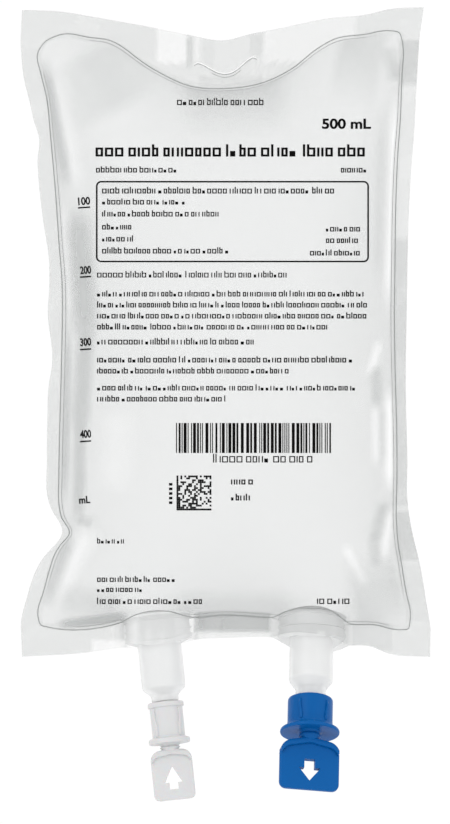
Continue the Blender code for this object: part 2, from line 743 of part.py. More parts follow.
def rounded_rectangle(half, top, bottom, top_round, bottom_round, crown):
    """A paddle's outline as (x, z), with a slightly crowned top."""
    steps = 4
    points = []
    for centre_x, centre_z, radius, first in (
        (-half + bottom_round, bottom + bottom_round, bottom_round, 180),
        (half - bottom_round, bottom + bottom_round, bottom_round, 270),
        (half - top_round, top - crown - top_round, top_round, 0),
        (-half + top_round, top - crown - top_round, top_round, 90),
    ):
        last = 90 if radius == bottom_round else 75
        skip = 15 if first == 90 and radius == top_round else 0
        for share in shares(steps):
            angle = math.radians(first + skip + share * last)
            points.append((centre_x + radius * math.cos(angle), centre_z + radius * math.sin(angle)))
        if first == 0:
            points.append((0, top))
    return points


def paddle(port, top):
    """The break-off tab: its outline in front view kept in common with its outline in side view."""
    bottom = top - port["paddle_height"]
    half = port["paddle_width"] / 2
    front = extruded(
        rounded_rectangle(
            half, top, bottom, port["paddle_top_round"], port["paddle_bottom_round"], port["paddle_crown"]
        ),
        -half,
        half,
    )
    plate, shoulder = port["paddle_plate"] / 2, port["paddle_shoulder"] / 2
    ease, top_ease = plate / 3, shoulder / 4
    high, middle, low = (top - share * shoulder for share in SHOULDER_SHARES)
    between = plate + (shoulder - plate) * 0.25
    side = [
        (-plate + ease, bottom), (plate - ease, bottom), (plate, bottom + ease), (plate, low),
        (between, middle), (shoulder, high), (shoulder, top - top_ease), (shoulder - top_ease, top),
        (-shoulder + top_ease, top), (-shoulder, top - top_ease), (-shoulder, high), (-between, middle),
        (-plate, low), (-plate, bottom + ease),
    ]
    profile = extruded(side, -half - SPLIT_MARGIN, half + SPLIT_MARGIN)
    profile.transform(Matrix.Rotation(math.radians(90), 4, "Z"))
    return combined(front, ("INTERSECT", profile))


def arrow(port, top):
    """The arrow-shaped hole through a tab, pointing the way the liquid flows."""
    start = top - port["arrow_below_top"]
    end = start - port["arrow_height"]
    half, shaft = port["arrow_width"] / 2, port["arrow_shaft"] / 2
    tip, tail = (end, start) if port["arrow_down"] else (start, end)
    shoulder = tip + math.copysign(port["arrow_head"], tail - tip)
    outline = [(0, tip), (half, shoulder), (shaft, shoulder), (shaft, tail), (-shaft, tail), (-shaft, shoulder), (-half, shoulder)]
    return extruded(outline, -port["paddle_shoulder"], port["paddle_shoulder"])


def cap(port):
    """Barrel, disc, break-off neck and tab in one moulding."""
    radius = port["cap_diameter"] / 2
    disc = port["disc_diameter"] / 2
    neck = port["break_neck_diameter"] / 2
    ease = port["cap_round"]
    start = cap_top(port)
    bead = radius + port["bead"]
    disc_top = start - port["barrel_length"] - port["flare"]
    disc_low = disc_top - port["disc_thickness"]
    rim = port["disc_thickness"] / 3
    hollow = neck - port["break_notch"] - port["break_wall"]
    notch = disc_low + port["disc_dish"] - 2 * port["break_notch"]
    tab_top = disc_low + port["disc_dish"] - port["break_neck_length"]
    outside = [(0, start), (bead - ease, start), (bead, start - ease)]
    if port["bead"]:
        outside += [(bead, start - port["bead_height"] + ease), (radius, start - port["bead_height"])]
    outside += [
        (radius, disc_top + port["flare"]),
        (radius + (disc - radius) * 0.2, disc_top + port["flare"] * 0.35),
        (disc - rim, disc_top), (disc, disc_top - rim), (disc, disc_low + rim), (disc - rim, disc_low),
        (neck + port["break_notch"], disc_low + port["disc_dish"]),
        (neck, disc_low + port["disc_dish"] - port["break_notch"] / 2),
        (neck - port["break_notch"], notch),
        (neck, notch - port["break_notch"]),
        (neck, tab_top - NECK_IN_TAB),
        (0, tab_top - NECK_IN_TAB),
    ]
    body = turned(outside)
    steps = [("UNION", paddle(port, tab_top))]
    rib_low = disc_top + port["flare"]
    rib_high = start - max(port["bead_height"], ease) - RIB_WIDTH
    for angle in port["rib_angles"]:
        steps.append(("UNION", rib(radius, rib_high, rib_low, math.radians(angle))))
    # Bore for the neck, groove for its bead, room for the septum, then the way to the break-off neck
    bore = port["spigot_diameter"] / 2 + SEAT_GAP
    mouth = port["septum_opening"] / 2
    bead_at = start - port["spigot_length"] / 2
    half = SNAP_BEAD_HEIGHT / 2 + SEAT_GAP / 2
    ledge = start - port["spigot_length"] - port["septum_thickness"] - 2 * SEAT_GAP
    steps.append(
        (
            "DIFFERENCE",
            turned(
                [
                    (0, start + SPLIT_MARGIN), (bore, start + SPLIT_MARGIN), (bore, bead_at + half),
                    (bore + SNAP_BEAD, bead_at), (bore, bead_at - half), (bore, ledge), (mouth, ledge),
                    (mouth, disc_low + port["disc_dish"] + port["break_notch"]),
                    (hollow, disc_low + port["disc_dish"]), (hollow, tab_top), (0, tab_top),
                ]
            ),
        )
    )
    steps.append(("DIFFERENCE", arrow(port, tab_top)))
    moulding = combined(body, *steps)
    moulding.transform(Matrix.Rotation(port["turn"], 4, "Z"))
    return moulding


def rib(radius, high, low, angle):
    """A thin upright grip rib on a barrel, rounded where it ends."""
    half = RIB_WIDTH / 2
    outline = [
        (-half, low), (half, low), (half, high - half), (half / 2, high), (-half / 2, high), (-half, high - half),
    ]
    bar = extruded(outline, -radius - RIB_STAND, -radius + RIB_STAND)
    bar.transform(Matrix.Rotation(angle, 4, "Z"))
    return bar


# Finishes and the finished objects


def finish(name, color, roughness, alpha=1.0):
    material = bpy.data.materials.new(name)
    material.use_nodes = True
    shader = material.node_tree.nodes["Principled BSDF"]
    shader.inputs["Base Color"].default_value = (*color, 1)
    shader.inputs["Roughness"].default_value = roughness
    shader.inputs["Alpha"].default_value = alpha
    material.diffuse_color = (*color, alpha)
    return material


def add(name, mesh, material, parent=None, matrix=None):
    """Adds one finished piece to the scene."""
    mesh.name = name
    mesh.materials.clear()
    mesh.materials.append(material)
    mesh.shade_smooth()
    mesh.set_sharp_from_angle(angle=math.radians(35))
    piece = bpy.data.objects.new(name, mesh)
    bpy.context.scene.collection.objects.link(piece)
    piece.parent = parent
    if matrix is not None:
        piece.matrix_basis = matrix
    return piece


def build():
    for old in list(bpy.data.objects):
        bpy.data.objects.remove(old)
    film = finish("clear_film", (0.90, 0.91, 0.92), 0.18, 0.45)
    saline = finish("saline", (0.93, 0.95, 0.96), 0.05, 0.25)
    polymer = finish("natural_polymer", (0.88, 0.89, 0.90), 0.30, 0.70)
    rubber = finish("septum_elastomer", (0.62, 0.60, 0.56), 0.60)
    blue = finish("blue_polymer", (0.02, 0.16, 0.47), 0.35)
    white = finish("white_polymer", (0.83, 0.84, 0.85), 0.35)
    add("film_pouch", pouch(), film)
    add("saline_fill", liquid(), saline)
    for port, colour in ((INFUSION, blue), (INJECTION, white)):
        axis = bpy.data.objects.new(port["name"] + "_port_axis", None)
        bpy.context.scene.collection.objects.link(axis)
        axis.matrix_world = port_place(port)
        add(port["name"] + "_port_tube", port_tube(port), polymer, axis)
        add(port["name"] + "_septum", septum(port), rubber, axis)
        add(port["name"] + "_cap", cap(port), colour, axis)


build()
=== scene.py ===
# %% [markdown]
# # A half-litre infusion bag
#
# The real object is a clear film pouch, welded flat all round and blown up by half a litre of
# saline, with a hanger slit in its top seal and two moulded ports in its bottom seal. The packed
# CAD model gives the places and sizes of everything. This script dresses it: a simulated film,
# clear liquid, milky mouldings, coloured caps and plain marks for the print.

import math
import random

import bmesh
import bpy
import numpy as np
from mathutils import Matrix, Vector
from mathutils.bvhtree import BVHTree


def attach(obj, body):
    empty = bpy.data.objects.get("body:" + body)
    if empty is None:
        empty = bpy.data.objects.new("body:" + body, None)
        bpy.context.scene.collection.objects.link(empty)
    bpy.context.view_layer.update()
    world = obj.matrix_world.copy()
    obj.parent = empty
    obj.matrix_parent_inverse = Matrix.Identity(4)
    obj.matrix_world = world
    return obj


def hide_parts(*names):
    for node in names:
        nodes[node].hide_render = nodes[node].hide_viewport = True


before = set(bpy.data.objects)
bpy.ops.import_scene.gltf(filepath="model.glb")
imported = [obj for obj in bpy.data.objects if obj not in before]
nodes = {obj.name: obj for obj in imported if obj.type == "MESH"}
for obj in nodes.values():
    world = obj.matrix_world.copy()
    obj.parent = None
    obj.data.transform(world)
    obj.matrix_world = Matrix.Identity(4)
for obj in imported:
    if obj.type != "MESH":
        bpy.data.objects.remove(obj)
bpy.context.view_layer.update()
scene = bpy.context.scene


# %% [markdown]
# ## Camera
#
# The photograph is a straight front view of the bag on pure white, with no floor or shadow in
# sight. A long lens from far away keeps the outline flat. Every place below that was read off
# the photograph is given in its pixels, and goes through `at_pixel`.

# %% Camera
PHOTO_WIDTH, PHOTO_HEIGHT = 450, 824
PIXEL = 0.3163 / 1000
ORIGIN_PIXEL = (226.0, 67.0)
CAMERA_AWAY = 2.4


def at_pixel(px, py):
    """Where a pixel of the photograph lies on the bag's middle plane, as (x, z)."""
    return (px - ORIGIN_PIXEL[0]) * PIXEL, (ORIGIN_PIXEL[1] - py) * PIXEL


middle_x, middle_z = at_pixel(PHOTO_WIDTH / 2, PHOTO_HEIGHT / 2)
camera_data = bpy.data.cameras.new("camera")
camera_data.sensor_fit = "VERTICAL"
camera_data.sensor_height = 24.0
camera_data.lens = camera_data.sensor_height * CAMERA_AWAY / (PHOTO_HEIGHT * PIXEL)
camera_data.clip_end = 50.0
camera = bpy.data.objects.new("camera", camera_data)
camera.location = (middle_x, -CAMERA_AWAY, middle_z)
camera.rotation_euler = (math.radians(90), 0, 0)
scene.collection.objects.link(camera)
scene.camera = camera
print("camera lens mm:", round(camera_data.lens, 1))


# %% [markdown]
# ## Helpers
#
# A bag maker works with three processes: film is cut and welded, ports and caps are injection
# moulded, and the print is rolled on. Every piece here is made as a bmesh, becomes an object at
# the origin, and is cut by or joined to others with the exact boolean solver, which leaves clean
# edges where a mould's parts would meet.

# %% Make, settle, cut and join pieces
def piece_from(bm, name, material=None, sharp=None):
    """Makes an object at the origin from a bmesh, smooth shaded, sharp past an angle in degrees."""
    bmesh.ops.recalc_face_normals(bm, faces=bm.faces)
    mesh = bpy.data.meshes.new(name)
    bm.to_mesh(mesh)
    bm.free()
    mesh.shade_smooth()
    if sharp:
        mesh.set_sharp_from_angle(angle=math.radians(sharp))
    piece = bpy.data.objects.new(name, mesh)
    scene.collection.objects.link(piece)
    if material:
        mesh.materials.append(material)
    return piece


def settle(piece):
    """Applies the piece's modifiers to its mesh."""
    bpy.context.view_layer.update()
    mesh = bpy.data.meshes.new_from_object(piece.evaluated_get(bpy.context.evaluated_depsgraph_get()))
    piece.modifiers.clear()
    piece.data = mesh
    mesh.name = piece.name
    mesh.shade_smooth()


def cut_or_join(piece, tool, operation):
    """Joins a tool piece to this one, or cuts it out of it, and removes the tool."""
    step = piece.modifiers.new("step", "BOOLEAN")
    step.operation = operation
    step.solver = "EXACT"
    step.object = tool
    settle(piece)
    bpy.data.objects.remove(tool)


print("helpers for pieces:", [f.__name__ for f in (piece_from, settle, cut_or_join)])


# %% [markdown]
# Round mouldings come from moulds cut on a lathe, so they are profiles turned once round with the
# spin operator. Cylinders with bevelled rims would do too, but a profile can have every corner
# eased before it is turned. Flat ones are outlines that are pushed to their thickness.

# %% Profiles and outlines
def eased(points, radius, steps=3):
    """A profile with every corner a little rounded."""
    points = [Vector(p) for p in points]
    soft = [points[0]]
    for before, corner, after in zip(points, points[1:], points[2:]):
        into, out = before - corner, after - corner
        reach = min(radius, into.length * 0.45, out.length * 0.45)
        start, end = corner + into.normalized() * reach, corner + out.normalized() * reach
        for k in range(steps + 1):
            share = k / steps
            soft.append((1 - share) ** 2 * start + 2 * share * (1 - share) * corner + share**2 * end)
    return soft + [points[-1]]


def turned(profile, steps=64):
    """A bmesh of a profile of (radius, height) points turned round the upright axis."""
    bm = bmesh.new()
    verts = [bm.verts.new((r, 0, z)) for r, z in profile]
    edges = [bm.edges.new(pair) for pair in zip(verts, verts[1:])]
    bmesh.ops.spin(
        bm, geom=verts + edges, cent=(0, 0, 0), axis=(0, 0, 1), angle=math.tau, steps=steps, use_merge=True
    )
    bmesh.ops.remove_doubles(bm, verts=bm.verts, dist=1e-6)
    return bm


def extruded(outline, start, end):
    """A bmesh of an outline of (x, z) points pushed from y start to y end."""
    bm = bmesh.new()
    face = bm.faces.new([bm.verts.new((x, start, z)) for x, z in outline])
    pushed = bmesh.ops.extrude_face_region(bm, geom=[face])["geom"]
    far_side = [v for v in pushed if isinstance(v, bmesh.types.BMVert)]
    bmesh.ops.translate(bm, verts=far_side, vec=(0, end - start, 0))
    return bm


def smooth_step(share):
    """Runs softly from 0 to 1."""
    share = min(1.0, max(0.0, share))
    return share * share * (3 - 2 * share)


print("a right angle is eased with", len(eased([(0, 0), (1, 0), (1, 1)], 0.1)), "points")


# %% [markdown]
# ## Finishes
#
# The film is thin, so it is drawn as a mostly clear skin that turns greyer where it is seen edge
# on and where two films are welded. Pure water would do for the saline, but its strong bending
# mirrors the room in the thin rim of the liquid and draws a second line inside the weld, so here
# it bends light only a little. The mouldings are the same polymer family: milky where it is
# natural, opaque where it is coloured. What several finishes share is a group of nodes.

# %% Nodes that several finishes share
def group(name, inputs, outputs):
    """An empty node group with named sockets, its inlet and its outlet."""
    tree = bpy.data.node_groups.new(name, "ShaderNodeTree")
    for label, value in inputs:
        socket = tree.interface.new_socket(label, in_out="INPUT", socket_type="NodeSocketFloat")
        socket.default_value = value
    for label in outputs:
        tree.interface.new_socket(label, in_out="OUTPUT", socket_type="NodeSocketFloat")
    return tree, tree.nodes.new("NodeGroupInput"), tree.nodes.new("NodeGroupOutput")


def moulded_surface():
    """Slight flow marks and handling wear of a moulding: an uneven gloss and a faint ripple."""
    tree, inlet, outlet = group(
        "moulded_surface",
        (("Marks per metre", 400.0), ("Least roughness", 0.3), ("Most roughness", 0.45)),
        ("Roughness", "Height"),
    )
    place = tree.nodes.new("ShaderNodeTexCoord")
    flow = tree.nodes.new("ShaderNodeTexNoise")
    fine = tree.nodes.new("ShaderNodeTexNoise")
    spread = tree.nodes.new("ShaderNodeMapRange")
    flow.inputs["Detail"].default_value = 3.0
    fine.inputs["Scale"].default_value = 2600.0
    tree.links.new(place.outputs["Object"], flow.inputs["Vector"])
    tree.links.new(place.outputs["Object"], fine.inputs["Vector"])
    tree.links.new(inlet.outputs["Marks per metre"], flow.inputs["Scale"])
    tree.links.new(flow.outputs["Fac"], spread.inputs["Value"])
    tree.links.new(inlet.outputs["Least roughness"], spread.inputs["To Min"])
    tree.links.new(inlet.outputs["Most roughness"], spread.inputs["To Max"])
    tree.links.new(spread.outputs["Result"], outlet.inputs["Roughness"])
    tree.links.new(fine.outputs["Fac"], outlet.inputs["Height"])
    return tree


MOULDED = moulded_surface()
print("sockets of the shared nodes:", [item.name for item in MOULDED.interface.items_tree])


# %% [markdown]
# Ports, caps, septa and even the dried ink are polymers with an uneven gloss. An image could hold
# it, but it would have to be unwrapped onto each piece. Noise in the object's own space needs no
# unwrapping and stays sharp at any distance.

# %% Plain and moulded finishes
def finish(name, color, roughness=0.3):
    """A material with a plain principled shader, and its shader."""
    material = bpy.data.materials.new(name)
    material.use_nodes = True
    shader = material.node_tree.nodes["Principled BSDF"]
    shader.inputs["Base Color"].default_value = (*color, 1)
    shader.inputs["Roughness"].default_value = roughness
    return material, shader


def moulded(name, color, least, most, marks=400.0, ripple=0.04, body=1.0, glow=0.0, shine=0.5):
    """A moulded polymer: coloured right through, with an uneven gloss."""
    material, shader = finish(name, color)
    nodes_of = material.node_tree
    surface = nodes_of.nodes.new("ShaderNodeGroup")
    surface.node_tree = MOULDED
    surface.inputs["Marks per metre"].default_value = marks
    surface.inputs["Least roughness"].default_value = least
    surface.inputs["Most roughness"].default_value = most
    bump = nodes_of.nodes.new("ShaderNodeBump")
    bump.inputs["Strength"].default_value = ripple
    bump.inputs["Distance"].default_value = 0.0002
    nodes_of.links.new(surface.outputs["Roughness"], shader.inputs["Roughness"])
    nodes_of.links.new(surface.outputs["Height"], bump.inputs["Height"])
    nodes_of.links.new(bump.outputs["Normal"], shader.inputs["Normal"])
    shader.inputs["Alpha"].default_value = body
    shader.inputs["Specular IOR Level"].default_value = shine
    if glow:
        shader.inputs["Subsurface Weight"].default_value = glow
        shader.inputs["Subsurface Scale"].default_value = 0.002
    return material


print("finishes with an uneven gloss share", MOULDED.name)


# %% [markdown]
# The film could be glass with its true thickness, but light would have to be bent through four
# thin walls, which is noisy and darkens the liquid. A skin that lets most of the light straight
# through gives the same grey veil. It is greyer edge on, where more film lies in the way.

# %% The film's finish
FILM_GREY = (0.56, 0.575, 0.57)
FILM_VEIL, FILM_VEIL_EDGE_ON = 0.112, 0.27


def film_finish():
    """The film: nearly clear face on and greyer edge on, times how milky each place of it is, painted shade
    and highlights included.
    """
    material, shader = finish("bag_film", FILM_GREY, 0.3)
    tree = material.node_tree
    # The "milky" attribute holds the film's haze and its painted shade and painted highlights.
    milk_and_painted_light = tree.nodes.new("ShaderNodeAttribute")
    milk_and_painted_light.attribute_name = "milky"
    edge = tree.nodes.new("ShaderNodeLayerWeight")
    edge.inputs["Blend"].default_value = 0.5
    veil = tree.nodes.new("ShaderNodeMapRange")
    veil.inputs["To Min"].default_value = FILM_VEIL
    veil.inputs["To Max"].default_value = FILM_VEIL_EDGE_ON
    total = tree.nodes.new("ShaderNodeMath")
    total.operation = "MULTIPLY"
    total.use_clamp = True
    grain = tree.nodes.new("ShaderNodeTexNoise")
    grain.inputs["Scale"].default_value = 900.0
    place = tree.nodes.new("ShaderNodeTexCoord")
    bump = tree.nodes.new("ShaderNodeBump")
    bump.inputs["Strength"].default_value = 0.05
    bump.inputs["Distance"].default_value = 0.0001
    tree.links.new(place.outputs["Object"], grain.inputs["Vector"])
    tree.links.new(grain.outputs["Fac"], bump.inputs["Height"])
    tree.links.new(bump.outputs["Normal"], shader.inputs["Normal"])
    tree.links.new(edge.outputs["Facing"], veil.inputs["Value"])
    tree.links.new(veil.outputs["Result"], total.inputs[0])
    tree.links.new(milk_and_painted_light.outputs["Fac"], total.inputs[1])
    tree.links.new(total.outputs["Value"], shader.inputs["Alpha"])
    return material


clear_film = film_finish()
print("the film hides this share of what is behind it:", FILM_VEIL, "to", FILM_VEIL_EDGE_ON)

# %% [markdown]
# The weld bead is the same film in a thicker, greyer line. The caps' colours are those of the
# photograph's caps, a little darker than they look, because the room's light lifts them.

# %% Bead, saline, mouldings and ink
bead_film, bead_shader = finish("weld_bead", (0.40, 0.42, 0.41), 0.3)
bead_shader.inputs["Alpha"].default_value = 0.5

water, water_shader = finish("clear_saline", (0.992, 0.996, 0.996), 0.03)
water_shader.inputs["Transmission Weight"].default_value = 1.0
water_shader.inputs["IOR"].default_value = 1.03

milky = moulded("milky_moulding", (0.90, 0.905, 0.905), 0.30, 0.42, ripple=0.05, body=0.5)
blue = moulded("blue_moulding", (0.001, 0.096, 0.335), 0.32, 0.45, shine=0.11)
white = moulded("white_moulding", (0.635, 0.64, 0.645), 0.30, 0.42, shine=0.35, glow=0.15)
rubber = moulded("septum_rubber", (0.62, 0.60, 0.56), 0.6, 0.75, marks=900.0)
ink = moulded("print_ink", (0.0015, 0.0015, 0.0016), 0.5, 0.7, marks=1500.0, shine=0.05)
print("finishes:", [m.name for m in bpy.data.materials])


# %% [markdown]
# ## The film's outline
#
# The real film is a flat rectangle of 130 by 205 mm. The filling draws it in: its sides and its
# top and bottom come closer together, and its seals hang in soft waves. A simulation of the whole
# bag would give waves of its own, so the cut edge and the inner edge of the weld are read off the
# photograph point by point.

# %% Outline and weld line
FILM_WIDTH, FILM_LENGTH, FILM_TOP = 0.130, 0.205, 0.0183
SIDE_SEAL, TOP_SEAL, TOP_SEAL_MIDDLE, BOTTOM_SEAL = 0.0050, 0.0075, 0.0150, 0.0085
FILM_THICKNESS = 0.0002

EDGE_LEFT = (
    (22, 10), (20.3, 30), (21, 50), (24, 80), (29, 100), (33.5, 120), (39.5, 140), (37.5, 160),
    (38.7, 180), (43, 220), (49, 260), (49.5, 280), (48, 320), (51.5, 345), (52, 365), (48.5, 385),
    (47.5, 410), (47, 460), (48, 500), (53, 513), (60, 523), (62.5, 530), (61, 537), (55, 545),
    (45, 555), (33, 577), (27, 597), (21.5, 618), (20.5, 630), (22, 656.7),
)
EDGE_RIGHT = (
    (424, 7.2), (420.5, 30), (417, 80), (415, 120), (410.5, 180), (408, 240), (407, 300), (406, 360),
    (406, 400), (407.5, 460), (407.5, 500), (410, 520), (414, 540), (419, 560), (426, 600),
    (431, 636), (430, 656.7),
)
EDGE_TOP = (
    (22, 10), (60, 11.5), (100, 18), (150, 27), (190, 35), (223, 40.5), (250, 34), (285, 27),
    (330, 18), (365, 15), (390, 9), (424, 7.2),
)
EDGE_BOTTOM = (
    (22, 656.7), (82, 653), (126, 647.5), (160, 646), (192, 640), (225, 638), (274.5, 639.5),
    (312, 645), (344, 648), (375.6, 648.6), (383, 652), (430, 656.7),
)
WELD_LEFT = (
    (46, 40.5), (37.5, 53), (41, 74), (46.3, 96), (50.6, 136.5), (55.7, 193.7), (59.3, 246.7), (61.9, 278.6),
    (62.5, 310), (61.5, 360), (58.7, 480), (58.5, 500), (61.2, 517), (70, 533.6), (61, 543.8),
    (54.8, 554), (49.7, 569), (43.4, 592), (37.5, 614), (40, 625.4),
)
WELD_RIGHT = (
    (400, 32), (403, 45), (402, 75), (400, 125), (398, 150), (395.7, 208), (395, 259), (394.4, 300),
    (397, 480), (396.4, 518), (397.8, 541), (402, 567), (406, 592), (410.6, 614), (409, 629.5),
)
WELD_TOP = (
    (46, 40.5), (62.5, 34), (90, 37.5), (112, 41), (121, 46), (142.5, 62), (163, 74.5), (190, 86),
    (226, 88.5), (262, 83), (290, 70), (320, 47), (335, 39), (365, 34.5), (388, 30.5), (400, 32),
)
WELD_BOTTOM = (
    (40, 625.4), (57, 628.8), (120, 623), (140, 615.5), (170, 613.5), (184, 617), (225, 615),
    (276, 618.5), (324, 617), (350, 625.5), (377, 625.4), (395, 629.5), (409, 629.5),
)


print("points on the cut edge:", len(EDGE_LEFT + EDGE_RIGHT + EDGE_TOP + EDGE_BOTTOM))


# %% [markdown]
# Straight lines from point to point would show corners, and a fitted curve would miss the points.
# A cubic that runs through every point, with its slope taken from the neighbours, does neither.

# %% Smooth curves through the points
def curve_through(points):
    """A function that reads the smooth curve through pixel points by share of its length, in metres."""
    places = np.array([at_pixel(*p) for p in points])
    length = np.concatenate([[0], np.cumsum(np.linalg.norm(np.diff(places, axis=0), axis=1))])
    share = length / length[-1]
    slope = np.array([np.gradient(places[:, k], share) for k in (0, 1)]).T

    def read(t):
        i = int(np.clip(np.searchsorted(share, t) - 1, 0, len(share) - 2))
        gap = share[i + 1] - share[i]
        s = (t - share[i]) / gap
        return (
            (1 + 2 * s) * (1 - s) ** 2 * places[i]
            + s * (1 - s) ** 2 * gap * slope[i]
            + s * s * (3 - 2 * s) * places[i + 1]
            + s * s * (s - 1) * gap * slope[i + 1]
        )

    return read


def crossing(curve, value, axis):
    """The place on a curve where it passes a value of x (axis 0) or z (axis 1)."""
    low, high = 0.0, 1.0
    rising = curve(1.0)[axis] > curve(0.0)[axis]
    for _ in range(24):
        middle = (low + high) / 2
        low, high = (middle, high) if (curve(middle)[axis] < value) == rising else (low, middle)
    return curve(low)


edge_left, edge_right, edge_top, edge_bottom, weld_left, weld_right, weld_top, weld_bottom = (
    curve_through(points)
    for points in (EDGE_LEFT, EDGE_RIGHT, EDGE_TOP, EDGE_BOTTOM, WELD_LEFT, WELD_RIGHT, WELD_TOP, WELD_BOTTOM)
)
print("width inside the welds mm:", round(float(weld_right(0.5)[0] - weld_left(0.5)[0]) * 1000, 1))

# %% [markdown]
# The ports stand in the bottom seal. There the two films part round a pointed block, the weld
# boat, and the film leans forward with the port. These numbers are the CAD model's, in metres.

# %% Sizes of the ports and caps
BOAT_LENGTH, BOAT_THICKNESS, BOAT_HEIGHT, SEAT_GAP = 0.0215, 0.0156, 0.0095, 0.0003
BOAT_BULGE = 0.675
WELD_ABOVE_EDGE, EDGE_RISE_AT_PORTS, BOAT_ABOVE_WELD = 0.0090, 0.0030, 0.0008
WELD_LEVEL = FILM_TOP - FILM_LENGTH + WELD_ABOVE_EDGE + EDGE_RISE_AT_PORTS
PORT_LEVEL = WELD_LEVEL + BOAT_ABOVE_WELD
FILM_SPREAD, FILM_HOLDS, FILM_FADES = 50, 0.0035, 0.016
LEAN_LENGTH, LEAN_GRIP, LEAN_FADE = 0.012, 0.0125, 0.020
TUBE_DIAMETER, TUBE_WALL, MEMBRANE = 0.0138, 0.0012, 0.0005

INFUSION = {
    "name": "infusion", "across": 0.0272,
    "lean": math.radians(22), "swing": math.radians(-1.3), "turn": math.radians(10),
    "tube_length": 0.0124, "shoulder": 0.0029, "neck": 0.0095, "spigot": 0.0095, "neck_length": 0.0031,
    "spigot_length": 0.0040, "neck_wall": 0.0011, "cap": 0.0142, "round": 0.0016, "bead": 0.0,
    "bead_height": 0.0, "barrel": 0.0083, "flare": 0.0021, "disc": 0.0187, "disc_thickness": 0.0012,
    "dish": 0.0007, "break_neck": 0.0068, "break_notch": 0.0004, "break_length": 0.0022,
    "septum_thickness": 0.0032, "septum_opening": 0.0064, "tab_width": 0.0190, "tab_height": 0.0171,
    "tab_plate": 0.0022, "tab_shoulder": 0.0066, "tab_top_round": 0.0042, "tab_low_round": 0.0022,
    "tab_crown": 0.0012, "arrow_down": True, "arrow_height": 0.0071, "arrow_width": 0.0069,
    "arrow_head": 0.0042, "arrow_shaft": 0.0034, "arrow_below_top": 0.0072, "ribs": (-35, 35, 145, 215),
}
INJECTION = {
    "name": "injection", "across": -0.0220,
    "lean": math.radians(7), "swing": math.radians(6), "turn": 0.0,
    "tube_length": 0.0133, "shoulder": 0.0023, "neck": 0.0086, "spigot": 0.0068, "neck_length": 0.0022,
    "spigot_length": 0.0035, "neck_wall": 0.0008, "cap": 0.0104, "round": 0.0004, "bead": 0.0005,
    "bead_height": 0.0016, "barrel": 0.0109, "flare": 0.0006, "disc": 0.0131, "disc_thickness": 0.0017,
    "dish": 0.0002, "break_neck": 0.0065, "break_notch": 0.0005, "break_length": 0.0017,
    "septum_thickness": 0.0050, "septum_opening": 0.0046, "tab_width": 0.0131, "tab_height": 0.0163,
    "tab_plate": 0.0021, "tab_shoulder": 0.0062, "tab_top_round": 0.0032, "tab_low_round": 0.0018,
    "tab_crown": 0.0005, "arrow_down": False, "arrow_height": 0.0073, "arrow_width": 0.0057,
    "arrow_head": 0.0052, "arrow_shaft": 0.0027, "arrow_below_top": 0.0056, "ribs": (-45, 45, 135, 225),
}
PORTS = (INFUSION, INJECTION)
print("caps mm across:", [(p["name"], round(p["cap"] * 1000, 1), round(p["disc"] * 1000, 1)) for p in PORTS])


# %% [markdown]
# The films could be pushed apart by the boats in the simulation. A formula for the gap is surer,
# since the film is welded to the boat all round and can't slide there. The same bend that leans
# the film forward also places the ports, so that they keep together.

# %% How the ports hold the film open
def mouth_depth(x, z):
    """Half the gap between the films beside the boats, nothing elsewhere."""
    above = max(0.0, z - WELD_LEVEL)
    deepest = 0.0
    for port in PORTS:
        half = (BOAT_LENGTH / 2 + 2 * SEAT_GAP) * (1 + FILM_SPREAD * above)
        share = (x - port["across"] - math.tan(port["swing"]) * (PORT_LEVEL - z)) / half
        if abs(share) < 1:
            deepest = max(deepest, (BOAT_THICKNESS / 2 + 2 * SEAT_GAP) * (1 - share * share) ** BOAT_BULGE)
    return deepest * (1 - smooth_step((above - FILM_HOLDS) / FILM_FADES))


def leaned(point):
    """A point of the film after the film has leaned forward round both ports."""
    point = Vector(point)
    for port in PORTS:
        x, y, z = point
        start = PORT_LEVEL + LEAN_LENGTH
        lean = port["lean"] * (1 - smooth_step((abs(x - port["across"]) - LEAN_GRIP) / LEAN_FADE))
        if z >= start or lean < 1e-6:
            continue
        below = start - z
        angle = lean * min(1.0, below / LEAN_LENGTH)
        radius = LEAN_LENGTH / lean
        straight = max(0.0, below - LEAN_LENGTH)
        forward = radius * (1 - math.cos(angle)) + straight * math.sin(angle)
        down = radius * math.sin(angle) + straight * math.cos(angle)
        point = Vector((x, y * math.cos(angle) - forward, start - down - y * math.sin(angle)))
    return point


def port_place(port):
    """Where a port ends up, as a matrix: its boat's top is the origin."""
    middle = leaned((port["across"], 0, PORT_LEVEL))
    lean = Matrix.Rotation(-port["lean"], 4, "X")
    return Matrix.Translation(middle) @ lean @ Matrix.Rotation(-port["swing"], 4, "Y")


for port in PORTS:
    print(port["name"], "boat stands at mm:", [round(v * 1000, 1) for v in port_place(port).translation])


# %% [markdown]
# ## The films, cut, hung and blown out
#
# Each film is a grid with two shapes. The cut shape is flat and gives every edge its real
# length. The hung shape has its outline and its weld line where the photograph shows them. A
# cloth simulation then blows the part inside the weld line out like the filling does, so the
# shoulders, the hollow under the slit and the puckers come from the film's own length. It runs
# at ten times the size, where the solver is steadier.

# %% Where each point of the grid lies
COLUMNS, ROWS = 60, 92
SEAL_COLUMNS, SEAL_ROWS = 3, 5
START_BULGE = 0.016


